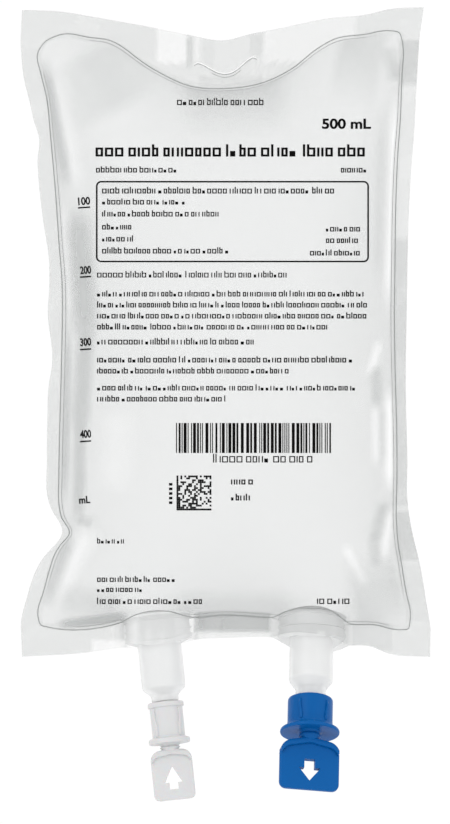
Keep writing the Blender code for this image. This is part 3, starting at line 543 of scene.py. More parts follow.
def hung(s, t):
    """The place of a grid point on the hung bag's middle plane. s runs across and t down, both from
    0 to 1 inside the weld line and a little past that in the seals."""
    si, ti = min(1.0, max(0.0, s)), min(1.0, max(0.0, t))
    inner = (1 - ti) * weld_top(si) + ti * weld_bottom(si) + (1 - si) * weld_left(ti) + si * weld_right(ti)
    inner -= (1 - si) * (1 - ti) * weld_top(0.0) + si * (1 - ti) * weld_top(1.0)
    inner -= (1 - si) * ti * weld_bottom(0.0) + si * ti * weld_bottom(1.0)
    out_s, out_t = abs(s - si) * COLUMNS / SEAL_COLUMNS, abs(t - ti) * ROWS / SEAL_ROWS
    side = end = inner
    if out_s:
        side = np.array([crossing(edge_left if s < 0.5 else edge_right, inner[1], 1)[0], inner[1]])
    if out_t:
        end = np.array([inner[0], crossing(edge_top if t < 0.5 else edge_bottom, inner[0], 0)[1]])
    if out_s and out_t:
        tip = (edge_left if s < 0.5 else edge_right)(0.0 if t < 0.5 else 1.0)
        near = (1 - out_s) * inner + out_s * side
        return (1 - out_t) * near + out_t * ((1 - out_s) * end + out_s * tip)
    return inner + out_s * (side - inner) + out_t * (end - inner)


def cut(s, t):
    """The place of the same grid point on the flat film. The top seal is widest behind the slit."""
    si, ti = min(1.0, max(0.0, s)), min(1.0, max(0.0, t))
    top_seal = TOP_SEAL + (TOP_SEAL_MIDDLE - TOP_SEAL) * max(0.0, 1 - (abs(2 * s - 1) / 0.62) ** 2)
    x = -FILM_WIDTH / 2 + SIDE_SEAL + si * (FILM_WIDTH - 2 * SIDE_SEAL)
    x += (s - si) * COLUMNS / SEAL_COLUMNS * SIDE_SEAL
    z = FILM_TOP - top_seal - ti * (FILM_LENGTH - top_seal - BOTTOM_SEAL)
    z -= (t - ti) * ROWS / SEAL_ROWS * (top_seal if t < 0.5 else BOTTOM_SEAL)
    return x, z


def seal_wave(x, z):
    """How far the seals wave forward and back, less near the ports, which hold them."""
    wave = 0.0008 * math.sin(x * 118 + 0.7) * math.sin(z * 41 + 0.4) + 0.0006 * math.sin(z * 150 - x * 60)
    near = min(math.hypot(x - port["across"], z - PORT_LEVEL) for port in PORTS)
    return wave * smooth_step((near - 0.012) / 0.02) * smooth_step(abs(x) / 0.03)


for corner in ((0, 0), (1, 1)):
    print("corner of the flat film inside its welds, mm:", [round(v * 1000, 1) for v in cut(*corner)])


# %% [markdown]
# A grid of squares bends evenly both ways and keeps its rows straight along the welds, where a
# triangulated sheet would pucker at random. Its points on and outside the weld line are pinned.
# The weld line is creased, so that the smoothing to come keeps it crisp.

# %% The films as grids
SIM_SCALE, WELD_CREASE = 10.0, 0.85


def film_grid(name, side):
    """One film as a grid, hung flat, with its cut shape as a second shape and its seals pinned."""
    across, down = COLUMNS + 2 * SEAL_COLUMNS, ROWS + 2 * SEAL_ROWS
    bm = bmesh.new()
    bmesh.ops.create_grid(bm, x_segments=across, y_segments=down, size=0.5)
    crease = bm.edges.layers.float.new("crease_edge")
    welded = bm.verts.layers.float.new("welded_share")
    cells = {}
    for vert in bm.verts:
        column = round((vert.co.x + 0.5) * across) - SEAL_COLUMNS
        row = round((0.5 - vert.co.y) * down) - SEAL_ROWS
        cells[vert.index] = (column, row)
        vert[welded] = 0.0 if 0 < column < COLUMNS and 0 < row < ROWS else 1.0
    for edge in bm.edges:
        (c0, r0), (c1, r1) = (cells[v.index] for v in edge.verts)
        on_side = c0 == c1 and c0 in (0, COLUMNS) and 0 <= min(r0, r1) and max(r0, r1) <= ROWS
        on_end = r0 == r1 and r0 in (0, ROWS) and 0 <= min(c0, c1) and max(c0, c1) <= COLUMNS
        edge[crease] = WELD_CREASE if on_side or on_end else 0.0
    places, flats, pinned = [], [], []
    for vert in bm.verts:
        s, t = cells[vert.index][0] / COLUMNS, cells[vert.index][1] / ROWS
        x, z = hung(s, t)
        free = 0 < s < 1 and 0 < t < 1
        bulge = START_BULGE * (math.sin(math.pi * s) * math.sin(math.pi * t)) ** 0.6 if free else 0.0
        depth = max(bulge, mouth_depth(x, z)) + FILM_THICKNESS / 2
        places.append(leaned((x, side * depth + seal_wave(x, z), z)))
        flat_x, flat_z = cut(s, t)
        flats.append((flat_x, side * FILM_THICKNESS, flat_z))
        if not free:
            pinned.append(vert.index)
    mesh = bpy.data.meshes.new(name)
    bm.to_mesh(mesh)
    bm.free()
    piece = bpy.data.objects.new(name, mesh)
    scene.collection.objects.link(piece)
    if side > 0:
        mesh.flip_normals()
    hung_shape = piece.shape_key_add(name="hung")
    cut_shape = piece.shape_key_add(name="cut")
    for i, (place, flat) in enumerate(zip(places, flats)):
        mesh.vertices[i].co = place * SIM_SCALE
        hung_shape.data[i].co = place * SIM_SCALE
        cut_shape.data[i].co = Vector(flat) * SIM_SCALE
    piece.vertex_groups.new(name="welded").add(pinned, 1.0, "REPLACE")
    return piece, cells


print("grid of a film:", COLUMNS + 2 * SEAL_COLUMNS, "by", ROWS + 2 * SEAL_ROWS, "cells")

# %% [markdown]
# On the real line the liquid is filled in and its weight blows the films out. Here an even
# pressure does it, with the welds pinned where the photograph has them. Film hardly stretches but
# folds at a touch, so it is stiff in tension and soft in bending. Sixteen frames bring it to rest.

# %% Blow both films out together
SIM_FRAMES = 16


def make_cloth(piece):
    """Film that hardly stretches, folds easily, is held by its seals and pushed out from inside."""
    cloth = piece.modifiers.new("film", "CLOTH")
    cloth.point_cache.frame_end = SIM_FRAMES
    cloth.collision_settings.use_collision = False
    film = cloth.settings
    film.quality = 6
    film.mass = 0.02
    film.tension_stiffness = 100
    film.compression_stiffness = 2
    film.shear_stiffness = 5
    film.bending_stiffness = 0.02
    film.air_damping = 2.0
    film.tension_damping = film.compression_damping = film.shear_damping = 5
    film.vertex_group_mass = "welded"
    film.pin_stiffness = 5.0
    film.rest_shape_key = piece.data.shape_keys.key_blocks["cut"]
    film.use_pressure = True
    film.uniform_pressure_force = 460.0
    film.effector_weights.gravity = 0.0


films, grid_cells = {}, {}
for name, side in (("film_front", -1), ("film_back", 1)):
    films[name], grid_cells[name] = film_grid(name, side)
    make_cloth(films[name])
for number in range(1, SIM_FRAMES + 1):
    scene.frame_set(number)
graph = bpy.context.evaluated_depsgraph_get()
blown = {}
for name, piece in films.items():
    blown[name] = [v.co / SIM_SCALE for v in piece.evaluated_get(graph).data.vertices]
for piece in films.values():
    piece.modifiers.clear()
    piece.shape_key_clear()
    piece.vertex_groups.clear()
scene.frame_set(1)
for name, places in blown.items():
    print(name, "half depth mm:", round(max(abs(place.y) for place in places) * 1000, 1))


# %% [markdown]
# The photograph shows folds that the carton pressed into this one bag: a crease running in from
# the nick in its left seal, soft upright folds along the right side and short puckers where
# the weld bends. They are laid over the blown shape, as narrow dents along a line.

# %% Folds and puckers
FOLDS = (
    # Points in pixels, half width and depth in mm, and which films it is on
    (((66, 534), (78, 527), (98, 519)), 1.6, 1.3, "film_front film_back"),
    (((68, 540), (84, 540), (100, 546)), 2.2, -0.5, "film_front"),
    (((384, 330), (379, 380), (382, 430), (378, 480)), 1.8, 0.55, "film_front"),
    (((371, 350), (367, 400), (370, 450)), 2.2, -0.45, "film_front"),
    (((388, 470), (377, 500), (372, 530), (378, 560)), 1.5, 0.6, "film_front"),
    (((391, 500), (388, 530), (390, 556)), 1.3, 0.45, "film_front"),
    (((360, 560), (356, 590), (362, 612)), 2.0, 0.4, "film_front"),
    (((52, 52), (70, 80), (90, 112)), 2.8, 0.5, "film_front film_back"),
    (((72, 42), (84, 70)), 2.0, 0.4, "film_front"),
    (((396, 42), (384, 74), (372, 110)), 2.8, 0.5, "film_front film_back"),
    (((150, 70), (146, 92)), 1.6, 0.35, "film_front"),
    (((300, 66), (306, 90)), 1.6, 0.35, "film_front"),
    (((66, 300), (76, 330), (73, 380)), 2.4, 0.4, "film_front"),
    (((68, 400), (80, 440), (76, 480)), 2.4, 0.45, "film_front"),
    (((60, 600), (74, 585), (82, 566)), 2.0, 0.4, "film_front film_back"),
    (((394, 600), (382, 588), (376, 570)), 2.0, 0.35, "film_back"),
    (((112, 618), (104, 600)), 1.6, 0.4, "film_front"),
    (((245, 612), (247, 596)), 1.8, 0.35, "film_front"),
)


def dent(x, z, points, width):
    """1 on a fold's line and 0 away from it, fading at the line's ends."""
    places = [Vector(at_pixel(*p)) for p in points]
    here = Vector((x, z))
    lengths = [(b - a).length for a, b in zip(places, places[1:])]
    best, start = 0.0, 0.0
    for a, b, length in zip(places, places[1:], lengths):
        share = min(1.0, max(0.0, (here - a).dot(b - a) / length**2))
        away = (here - a.lerp(b, share)).length
        run = (start + share * length) / sum(lengths)
        best = max(best, math.exp(-((away / width) ** 2)) * min(1.0, 5 * (1 - run), 0.4 + 3 * run))
        start += length
    return best


for name, places in blown.items():
    side = -1 if name == "film_front" else 1
    for fold_points, width, depth, where in FOLDS:
        if name not in where:
            continue
        centre = Vector(at_pixel(*fold_points[len(fold_points) // 2]))
        for i, place in enumerate(places):
            s, t = grid_cells[name][i][0] / COLUMNS, grid_cells[name][i][1] / ROWS
            if 0 < s < 1 and 0 < t < 1 and (Vector((place.x, place.z)) - centre).length < 0.03:
                share = dent(place.x, place.z, fold_points, width / 1000)
                place.y -= side * depth / 1000 * share * smooth_step(6 * min(s, 1 - s, t, 1 - t) + 0.25)
    for vert, place in zip(films[name].data.vertices, places):
        vert.co = place
print("folds:", len(FOLDS))

# %% [markdown]
# The slit is punched through both films in one stroke. It is a smile with a small hook at each
# end, which keeps it from tearing further.

# %% Slit
SLIT_SPAN, SLIT_SAG, SLIT_WIDTH, SLIT_HOOK, SLIT_TILT = 0.0164, 0.0041, 0.00035, 0.0011, math.radians(6)
THROUGH_FILM = 0.003


def slit_line(below=0.0, reach=1.0):
    """The slit's middle line as (x, z), or a line a little below its middle part."""
    half, hook, steps = SLIT_SPAN / 2 * reach, SLIT_HOOK, 28
    line = []
    for i in range(steps + 1):
        across = -half + 2 * half * i / steps
        line.append(Vector((across, -SLIT_SAG * (1 - (2 * across / SLIT_SPAN) ** 2) ** 1.5 - below)))
    if reach == 1.0:
        line = [Vector((-half - 1.6 * hook, -0.5 * hook)), Vector((-half - 0.7 * hook, 0.25 * hook))] + line
        line += [Vector((half + 0.7 * hook, 0.25 * hook)), Vector((half + 1.6 * hook, -0.5 * hook))]
    turn, lift = Matrix.Rotation(SLIT_TILT, 2), Vector((0, SLIT_SAG / 2))
    return [turn @ (point + lift) for point in line]


def slit_punch():
    """The punch as a curved blade through both films."""
    line, upper, lower = slit_line(), [], []
    for i, here in enumerate(line):
        way = line[min(i + 1, len(line) - 1)] - line[max(i - 1, 0)]
        across = Vector((-way.y, way.x)).normalized() * SLIT_WIDTH / 2
        upper.append(here + across)
        lower.append(here - across)
    return piece_from(extruded(upper + lower[::-1], -THROUGH_FILM, THROUGH_FILM), "punch")


print("the slit's line has", len(slit_line()), "points")

# %% [markdown]
# Film is never evenly clear. Where the two films are welded it is milkier. The patches on the weld
# hold its uneven haze together with painted glare and painted shade, and the soft streaks on the
# pouch are painted shade and painted highlights along its sides and edges, set as film that is
# milkier or clearer. A streak or a patch is a place in the photograph's pixels and an amount. They
# become one value at each point of the film, which the film's finish multiplies its veil by.

# %% How milky the film is at each place, painted light included
POUCH_MILK, SEAL_MILK = 0.88, 1.35
PATCH_SOFTNESS = 4
SEAL_HAZE_AND_PAINTED_LIGHT = (
    # Left, right, top and bottom in pixels, and how milky the weld is there, painted glare and shade included
    (157, 186, 26, 63, 0.6), (187, 193, 36, 66, 2.3), (194, 200, 36, 62, 0.9), (201, 214, 36, 68, 1.6),
    (250, 262, 34, 56, 1.8), (200, 262, 76, 84, 1.8), (264, 356, 16, 62, 0.85),
    (196, 270, 612, 631, 3.2), (196, 270, 633, 642, 0.9), (400, 430, 40, 84, 2.2),
    (396, 430, 88, 236, 1.2), (394, 430, 240, 506, 1.9), (396, 436, 512, 560, 2.2),
    (396, 440, 562, 622, 1.6), (352, 392, 612, 650, 1.7), (92, 126, 640, 652, 0.5),
    (126, 194, 600, 655, 0.4), (131, 137, 622, 650, 0.1), (146, 151, 628, 643, 0.1),
    (160, 165, 632, 643, 0.1), (274, 344, 600, 660, 1.1), (293, 308, 634, 640, 0.2),
    (316, 324, 630, 640, 0.2),
)
PAINTED_LIGHT_STREAKS = (
    # From one pixel to another, half width in pixels, and how much milkier (painted shade) or clearer
    # (painted highlight) the film is
    (42, 52, 70, 195, 5, 1.2), (54, 52, 80, 205, 8, -0.4), (80, 46, 120, 120, 30, 0.7),
    (78, 200, 88, 345, 10, 1.6), (88, 315, 80, 440, 7, 1.3), (81, 410, 79, 530, 5, 1.2),
    (77, 519, 94, 524, 4, 0.7), (62, 190, 73, 330, 5, -0.4), (67, 320, 64, 510, 4, 1.0),
    (95, 520, 48, 610, 9, -0.5), (72, 532, 44, 612, 6, 1.1), (52, 626, 132, 616, 4, 2.6),
    (120, 400, 114, 500, 14, -0.25), (170, 92, 300, 92, 26, 0.6), (332, 46, 390, 60, 32, 0.7),
    (388, 44, 396, 84, 6, 0.9), (397, 76, 388, 330, 5, -0.8), (381, 100, 376, 294, 4, 0.3),
    (380, 338, 368, 378, 4, -0.6), (375, 362, 377, 410, 5, 0.8), (382, 400, 382, 470, 3.5, 0.4),
    (374, 400, 376, 470, 4, -0.5), (385, 498, 373, 545, 5, 0.9), (372, 532, 377, 570, 5, 0.7),
    (391, 504, 382, 566, 4, -0.6), (342, 542, 367, 588, 4, -0.6), (346, 602, 408, 586, 26, 0.75),
    (130, 606, 340, 606, 12, 0.4), (52, 598, 126, 606, 12, 0.7), (389, 380, 390, 500, 5, -0.8),
)


def painted_streak_share(column, row, streak):
    """How strongly a straight soft streak of painted light on the film shows at a pixel."""
    x0, y0, x1, y1, wide = streak[:5]
    along = ((column - x0) * (x1 - x0) + (row - y0) * (y1 - y0)) / ((x1 - x0) ** 2 + (y1 - y0) ** 2)
    near = min(1.0, max(0.0, along))
    away = math.hypot(column - x0 - near * (x1 - x0), row - y0 - near * (y1 - y0))
    return smooth_step(1 - away / (2 * wide)) * smooth_step(4 * near) * smooth_step(4 - 4 * near)


def film_haze_and_painted_light(x, z, welded):
    """How milky the film is at a place, painted shade and highlights included: soft streaks on the pouch,
    patches on the weld.
    """
    column, row = x / PIXEL + ORIGIN_PIXEL[0], ORIGIN_PIXEL[1] - z / PIXEL
    pouch, weld = POUCH_MILK, SEAL_MILK
    for left, right, top, bottom, amount in SEAL_HAZE_AND_PAINTED_LIGHT:
        inside = min(column - left, right - column, row - top, bottom - row)
        weld += (amount - weld) * smooth_step(inside / PATCH_SOFTNESS + 0.5)
    # Each streak greys the film as painted shade, or with a negative amount clears it as a painted highlight.
    for streak in PAINTED_LIGHT_STREAKS:
        pouch += streak[5] * painted_streak_share(column, row, streak)
    return pouch + (weld - pouch) * welded


print("milkiness in the pouch's middle:", round(film_haze_and_painted_light(*at_pixel(226, 360), 0.0), 2))

# %% [markdown]
# Each film is smoothed once, given its thickness, and only then punched, so that the slit's edges
# have the film's full thickness. How milky it is, with its painted shade and painted highlights,
# goes into an attribute of its points, because an attribute follows the mesh wherever the
# simulation has moved it.

# %% Finish the films
for name, piece in films.items():
    soften = piece.modifiers.new("curve", "SUBSURF")
    soften.levels = soften.render_levels = 1
    soften.boundary_smooth = "PRESERVE_CORNERS"
    thick = piece.modifiers.new("thickness", "SOLIDIFY")
    thick.thickness = FILM_THICKNESS
    thick.offset = 0.0
    settle(piece)
    cut_or_join(piece, slit_punch(), "DIFFERENCE")
    share = piece.data.attributes["welded_share"]
    # The milky attribute holds the weld's haze and the painted shade and highlights of the patches and
    # streaks.
    milk_and_painted_light = piece.data.attributes.new("milky", "FLOAT", "POINT")
    for i, vert in enumerate(piece.data.vertices):
        milk_and_painted_light.data[i].value = film_haze_and_painted_light(vert.co.x, vert.co.z, share.data[i].value)
    piece.data.materials.clear()
    piece.data.materials.append(clear_film)
    piece.data.shade_smooth()
    piece.data.set_sharp_from_angle(angle=math.radians(60))
    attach(piece, "root")
    print(name, "faces:", len(piece.data.polygons))
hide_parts("film_pouch")


# %% [markdown]
# Where the weld ends, the molten film is squeezed into the pouch as a thin bead. It is what draws
# the crisp grey line round the liquid. Each film has its own bead, and they part at the ports.

# %% Weld beads
def weld_row(name):
    """The grid points on the weld line of one film, in order round the bag."""
    where = {cell: i for i, cell in grid_cells[name].items()}
    ring = [(c, 0) for c in range(COLUMNS)] + [(COLUMNS, r) for r in range(ROWS)]
    ring += [(c, ROWS) for c in range(COLUMNS, 0, -1)] + [(0, r) for r in range(ROWS, 0, -1)]
    return [Vector(blown[name][where[cell]]) for cell in ring]


BEAD_RADIUS, BEAD_LIFT = 0.00019, 0.9


def bead(name, points, radius, closed=True):
    """A thin round bead along a line of points."""
    curve = bpy.data.curves.new(name, "CURVE")
    curve.dimensions = "3D"
    curve.bevel_depth = radius
    curve.bevel_resolution = 2
    curve.use_fill_caps = not closed
    line = curve.splines.new("NURBS")
    line.points.add(len(points) - 1)
    for point, place in zip(line.points, points):
        point.co = (*place, 1)
    line.use_cyclic_u = closed
    line.use_endpoint_u = not closed
    line.order_u = 3
    line.resolution_u = 2
    piece = bpy.data.objects.new(name, curve)
    scene.collection.objects.link(piece)
    bpy.context.view_layer.update()
    mesh = bpy.data.meshes.new_from_object(piece.evaluated_get(bpy.context.evaluated_depsgraph_get()))
    bpy.data.objects.remove(piece)
    piece = bpy.data.objects.new(name, mesh)
    scene.collection.objects.link(piece)
    mesh.materials.append(bead_film)
    mesh.shade_smooth()
    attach(piece, "root")
    return piece


def on_front(x, z):
    """The point of the front film's seal nearest to a place."""
    return front_skin.find_nearest(Vector((x, -THROUGH_FILM, z)))[0]


front_skin = BVHTree.FromObject(films["film_front"], bpy.context.evaluated_depsgraph_get())
beads = []
for name, side, radius in (("front", -1, BEAD_RADIUS), ("back", 1, BEAD_RADIUS / 2)):
    ring = [place + Vector((0, side * radius * BEAD_LIFT, 0)) for place in weld_row("film_" + name)]
    beads.append(bead("weld_bead_" + name, ring, radius))
for name, below, reach, radius in (("upper", 0.00028, 1.0, 0.00016), ("lower", 0.0012, 0.55, 0.00011)):
    lip = [on_front(x, z) for x, z in slit_line(below, reach)]
    beads.append(bead("slit_lip_" + name, lip, radius, closed=False))
print("bead faces:", [len(b.data.polygons) for b in beads])


# %% [markdown]
# ## The saline
#
# The liquid fills the pouch right up to the weld, so its surface is the films' own, a third of a
# millimetre further in. It also stands in both port tubes, down to their membranes.

# %% Saline in the pouch
LIQUID_GAP, RIM_INSET, THIN_RIM = 0.00035, 0.15, 0.0025


def liquid_half(bm, name, side):
    """The liquid's surface behind one film, and its rim, which is kept a little inside the weld."""
    where = {cell: i for i, cell in grid_cells[name].items()}

    def at(c, r):
        return Vector(blown[name][where[(c, r)]])

    made = bmesh.ops.create_grid(bm, x_segments=COLUMNS, y_segments=ROWS, size=0.5)["verts"]
    rim = {}
    for vert in made:
        c, r = round((vert.co.x + 0.5) * COLUMNS), round((0.5 - vert.co.y) * ROWS)
        inner = (min(COLUMNS - 1, max(1, c)), min(ROWS - 1, max(1, r)))
        if inner == (c, r):
            down, across = at(c, r + 1) - at(c, r - 1), at(c + 1, r) - at(c - 1, r)
            outward = across.cross(down).normalized()
            outward *= side * math.copysign(1, outward.y)
            vert.co = at(c, r) - outward * LIQUID_GAP
        else:
            vert.co = at(c, r).lerp(at(*inner), RIM_INSET)
            rim[(c, r)] = vert
    return rim


bm = bmesh.new()
front_rim = liquid_half(bm, "film_front", -1)
back_rim = liquid_half(bm, "film_back", 1)
for place, front in front_rim.items():
    back = back_rim[place]
    gap = back.co.y - front.co.y
    if gap < THIN_RIM:
        front.co = back.co = (front.co + back.co) / 2
    else:
        front.co.y += LIQUID_GAP
        back.co.y -= LIQUID_GAP
bmesh.ops.remove_doubles(bm, verts=bm.verts, dist=1e-6)
open_edges = [e for e in bm.edges if len(e.link_faces) == 1]
bmesh.ops.holes_fill(bm, edges=open_edges, sides=0)
still_open = sum(len(e.link_faces) != 2 for e in bm.edges)
print("liquid open edges before and after closing:", len(open_edges), still_open)
bmesh.ops.recalc_face_normals(bm, faces=bm.faces)
print("saline in the pouch ml:", round(abs(bm.calc_volume()) * 1e6))
saline = piece_from(bm, "saline", water)
soften = saline.modifiers.new("curve", "SUBSURF")
soften.levels = soften.render_levels = 1
settle(saline)
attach(saline, "root")
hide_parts("saline_fill")

# %% [markdown]
# The tubes are full of the same liquid. Each column is turned, as the tube round it will be, and
# is a little thinner than the bore, so that the two never touch.

# %% Saline in the tubes
COLUMN_GAP, COLUMN_TOP, COLUMN_EASE = 0.0002, -0.0001, 0.0006
for port in PORTS:
    radius = TUBE_DIAMETER / 2 - TUBE_WALL - COLUMN_GAP
    way = port["spigot"] / 2 - port["neck_wall"] - COLUMN_GAP
    deep = BOAT_HEIGHT + port["tube_length"]
    low = deep + port["shoulder"] - TUBE_WALL - COLUMN_GAP
    profile = [(0, COLUMN_TOP), (radius, COLUMN_TOP), (radius, TUBE_WALL / 2 - deep), (way, -low), (0, -low)]
    column = piece_from(turned(eased(profile, COLUMN_EASE), 48), port["name"] + "_saline_column", water)
    column.data.transform(port_place(port))
    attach(column, "root")
    print(port["name"], "column mm:", round(low * 1000, 1), "long,", round(radius * 2000, 1), "across")


# %% [markdown]
# ## Ports
#
# Each port is one moulding: a ribbed boat that the films are welded round, a tube, a shoulder
# and a neck. The boat is a flat oval with two points, so that the films meet at its ends without
# a gap. It is made of plates: a core and three ribs, which melt into the film on the real line.

# %% Weld boats
BOAT_SWEEP, SWEEP_BELOW, SWEEP_RUN = 0.0022, 0.004, 0.003
BOAT_RIB_HEIGHT, BOAT_RIB_LEVELS, BOAT_CORE_INSET = 0.0014, (0.0, -0.00405, -0.0081), 0.0005


def boat_outline(grow):
    """The boat's pointed oval as (x, y)."""
    half, thick = BOAT_LENGTH / 2 + grow, BOAT_THICKNESS / 2 + grow
    turns = [math.pi * i / 24 for i in range(24)]
    upper = [(-half * math.cos(a), -thick * math.sin(a) ** (2 * BOAT_BULGE)) for a in turns]
    return upper + [(-x, -y) for x, y in upper]


def boat_plate(grow, low, high):
    """A plate with the boat's outline, as a piece, swept up at its pointed ends when it is low."""
    plate = extruded(boat_outline(grow), low, high)
    bmesh.ops.rotate(plate, verts=plate.verts, matrix=Matrix(((1, 0, 0), (0, 0, 1), (0, 1, 0))))
    for vert in plate.verts:
        share = smooth_step((-vert.co.z - SWEEP_BELOW) / SWEEP_RUN)
        vert.co.z += share * BOAT_SWEEP * (2 * vert.co.x / BOAT_LENGTH) ** 2
    return piece_from(plate, "plate")


print("points round a boat:", len(boat_outline(0.0)))


# %% [markdown]
# The rest of the port is round. It is turned, joined to the boat and bored from both ends, as the
# core pins of its mould would shape it. What is left between the bores is the thin membrane that
# a spike or a needle pierces.

# %% Port tubes
TUBE_EASE, BORE_EASE, PAST_END = 0.0007, 0.0004, 0.002


def port_tube(port):
    """Boat, tube, shoulder and neck, hollow down to the membrane."""
    outer, neck, spigot = TUBE_DIAMETER / 2, port["neck"] / 2, port["spigot"] / 2
    way = spigot - port["neck_wall"]
    tube_end = -BOAT_HEIGHT - port["tube_length"]
    neck_top = tube_end - port["shoulder"]
    cap_top = neck_top - port["neck_length"]
    end = cap_top - port["spigot_length"]
    outside = [(0, -BOAT_RIB_HEIGHT), (outer, -BOAT_RIB_HEIGHT), (outer, tube_end), (neck, neck_top)]
    outside += [(neck, cap_top + SEAT_GAP), (spigot, cap_top + SEAT_GAP), (spigot, end), (0, end)]
    if neck == spigot:
        outside.remove((neck, cap_top + SEAT_GAP))
    body = piece_from(turned(eased(outside, TUBE_EASE)), port["name"] + "_port_moulding")
    cut_or_join(body, boat_plate(-BOAT_CORE_INSET, -BOAT_HEIGHT, 0.0), "UNION")
    for level in BOAT_RIB_LEVELS:
        cut_or_join(body, boat_plate(0.0, level - BOAT_RIB_HEIGHT, level), "UNION")
    floor = neck_top + TUBE_WALL
    bore = outer - TUBE_WALL
    above = [(0, PAST_END), (bore, PAST_END), (bore, tube_end + TUBE_WALL / 2)]
    above += [(way, floor), (way, floor - MEMBRANE), (0, floor - MEMBRANE)]
    below = [(0, floor - 2 * MEMBRANE), (way, floor - 2 * MEMBRANE)]
    below += [(way, end - PAST_END), (0, end - PAST_END)]
    cut_or_join(body, piece_from(turned(eased(above, BORE_EASE)), "bore"), "DIFFERENCE")
    cut_or_join(body, piece_from(turned(below), "bore"), "DIFFERENCE")
    body.data.materials.clear()
    body.data.materials.append(milky)
    body.data.set_sharp_from_angle(angle=math.radians(32))
    body.data.transform(port_place(port))
    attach(body, "root")
    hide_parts(port["name"] + "_port_tube")
    return body


tubes = [port_tube(port) for port in PORTS]
print("port tube faces:", [len(t.data.polygons) for t in tubes])


# %% [markdown]
# ## Caps
#
# Each cap is one moulding too: a barrel with grip ribs, a disc to hold it by, a thin neck that
# breaks, and a tab with an arrow cut through it. The blue one's arrow points down, out of the
# bag, and the white one's points up, into it.

# %% Tabs
TAB_RIM, TAB_SWELL = 0.0019, 0.36
TAB_EASE, TAB_RIM_EASE, THROUGH_TAB = 0.0007, 0.0006, 0.004


def rounded_tab(half, top, bottom, top_round, low_round, crown):
    """A tab's outline as (x, z), with a slightly crowned top."""
    points = []
    for centre, radius, first, sweep in (
        ((-half + low_round, bottom + low_round), low_round, 180, 90),
        ((half - low_round, bottom + low_round), low_round, 270, 90),
        ((half - top_round, top - crown - top_round), top_round, 0, 75),
        ((-half + top_round, top - crown - top_round), top_round, 105, 75),
    ):
        for k in range(9):
            angle = math.radians(first + sweep * k / 8)
            points.append((centre[0] + radius * math.cos(angle), centre[1] + radius * math.sin(angle)))
        if first == 0:
            points.append((0, top))
    return points


def eased_plate(outline, half, ease):
    """A plate of one outline with all its edges rounded over."""
    bm = extruded(outline, -half, half)
    rims = [e for e in bm.edges if len(e.link_faces) == 2 and e.calc_face_angle() > math.radians(60)]
    bmesh.ops.bevel(
        bm, geom=rims, offset=ease, offset_type="OFFSET", segments=4, profile=0.5, affect="EDGES", material=-1
    )
    return piece_from(bm, "tab")


def tab(port, top):
    """The break-off tab: a plate, a thicker rim along its crown and an arrow-shaped hole."""
    outline = rounded_tab(
        port["tab_width"] / 2, top, top - port["tab_height"], port["tab_top_round"], port["tab_low_round"],
        port["tab_crown"],
    )
    start = top - port["arrow_below_top"]
    end = start - port["arrow_height"]
    half, shaft = port["arrow_width"] / 2, port["arrow_shaft"] / 2
    tip, tail = (end, start) if port["arrow_down"] else (start, end)
    wing = tip + math.copysign(port["arrow_head"], tail - tip)
    arrow = [(0, tip), (half, wing), (shaft, wing), (shaft, tail)]
    arrow += [(-x, z) for x, z in reversed(arrow[1:])]
    plate = eased_plate(outline, port["tab_plate"] / 2, TAB_EASE)
    crown = [point for point in outline if point[1] > top - port["tab_crown"] - 0.8 * port["tab_top_round"]]
    rim = crown + [(x * 0.97, z - TAB_RIM) for x, z in reversed(crown)]
    cut_or_join(plate, eased_plate(rim, port["tab_shoulder"] * TAB_SWELL, TAB_RIM_EASE), "UNION")
    cut_or_join(plate, piece_from(extruded(arrow, -THROUGH_TAB, THROUGH_TAB), "arrow"), "DIFFERENCE")
    return plate


print("tabs mm:", [(round(p["tab_width"] * 1000, 1), round(p["tab_height"] * 1000, 1)) for p in PORTS])

# %% [markdown]
# Ribs on the barrel let a wet glove hold the cap. On the real caps they are thin and not quite
# straight. Each is a narrow block, sliced across so that it can bend, and bevelled.

# %% Grip ribs
RIB_WIDTH, RIB_DEPTH, RIB_EASE = 0.0008, 0.0011, 0.00016
RIB_SWAY, RIB_LEAN = 0.0003, 0.0005


def grip_rib(radius, low, high, angle, lean):
    """A thin upright grip rib on a barrel, leaning a little and bent at its ends."""
    bm = bmesh.new()
    bmesh.ops.create_cube(bm, size=1.0)
    bmesh.ops.scale(bm, vec=(RIB_WIDTH, RIB_DEPTH, high - low), verts=bm.verts)
    for k in range(1, 8):
        bmesh.ops.bisect_plane(
            bm, geom=bm.verts[:] + bm.edges[:] + bm.faces[:],
            plane_co=(0, 0, (high - low) * (k / 8 - 0.5)), plane_no=(0, 0, 1),
        )
    for vert in bm.verts:
        share = vert.co.z / (high - low)
        vert.co.x += lean * (RIB_SWAY * math.sin(share * 2.2 * math.pi) + RIB_LEAN * share)
        vert.co.y *= 1 - 0.4 * abs(2 * share) ** 6
    bmesh.ops.bevel(
        bm, geom=[e for e in bm.edges if e.calc_face_angle() > 0.9], offset=RIB_EASE, offset_type="OFFSET",
        segments=3, profile=0.5, affect="EDGES", material=-1,
    )
    bmesh.ops.translate(bm, verts=bm.verts, vec=(0, -radius, (low + high) / 2))
    bmesh.ops.rotate(bm, verts=bm.verts, matrix=Matrix.Rotation(math.radians(angle), 3, "Z"))
    return piece_from(bm, "rib")


print("ribs at degrees:", [p["ribs"] for p in PORTS])

# %% [markdown]
# The rest of a cap is round, so it is one profile turned about the tube's axis: up the inside,
# over the rim and down the outside to the neck. The ribs and the tab are then joined to it. The
# neck runs a little way into the tab, so that no gap is left where they meet.

# %% Caps
NECK_IN_TAB, RIB_BELOW_RIM = 0.0011, 0.0004


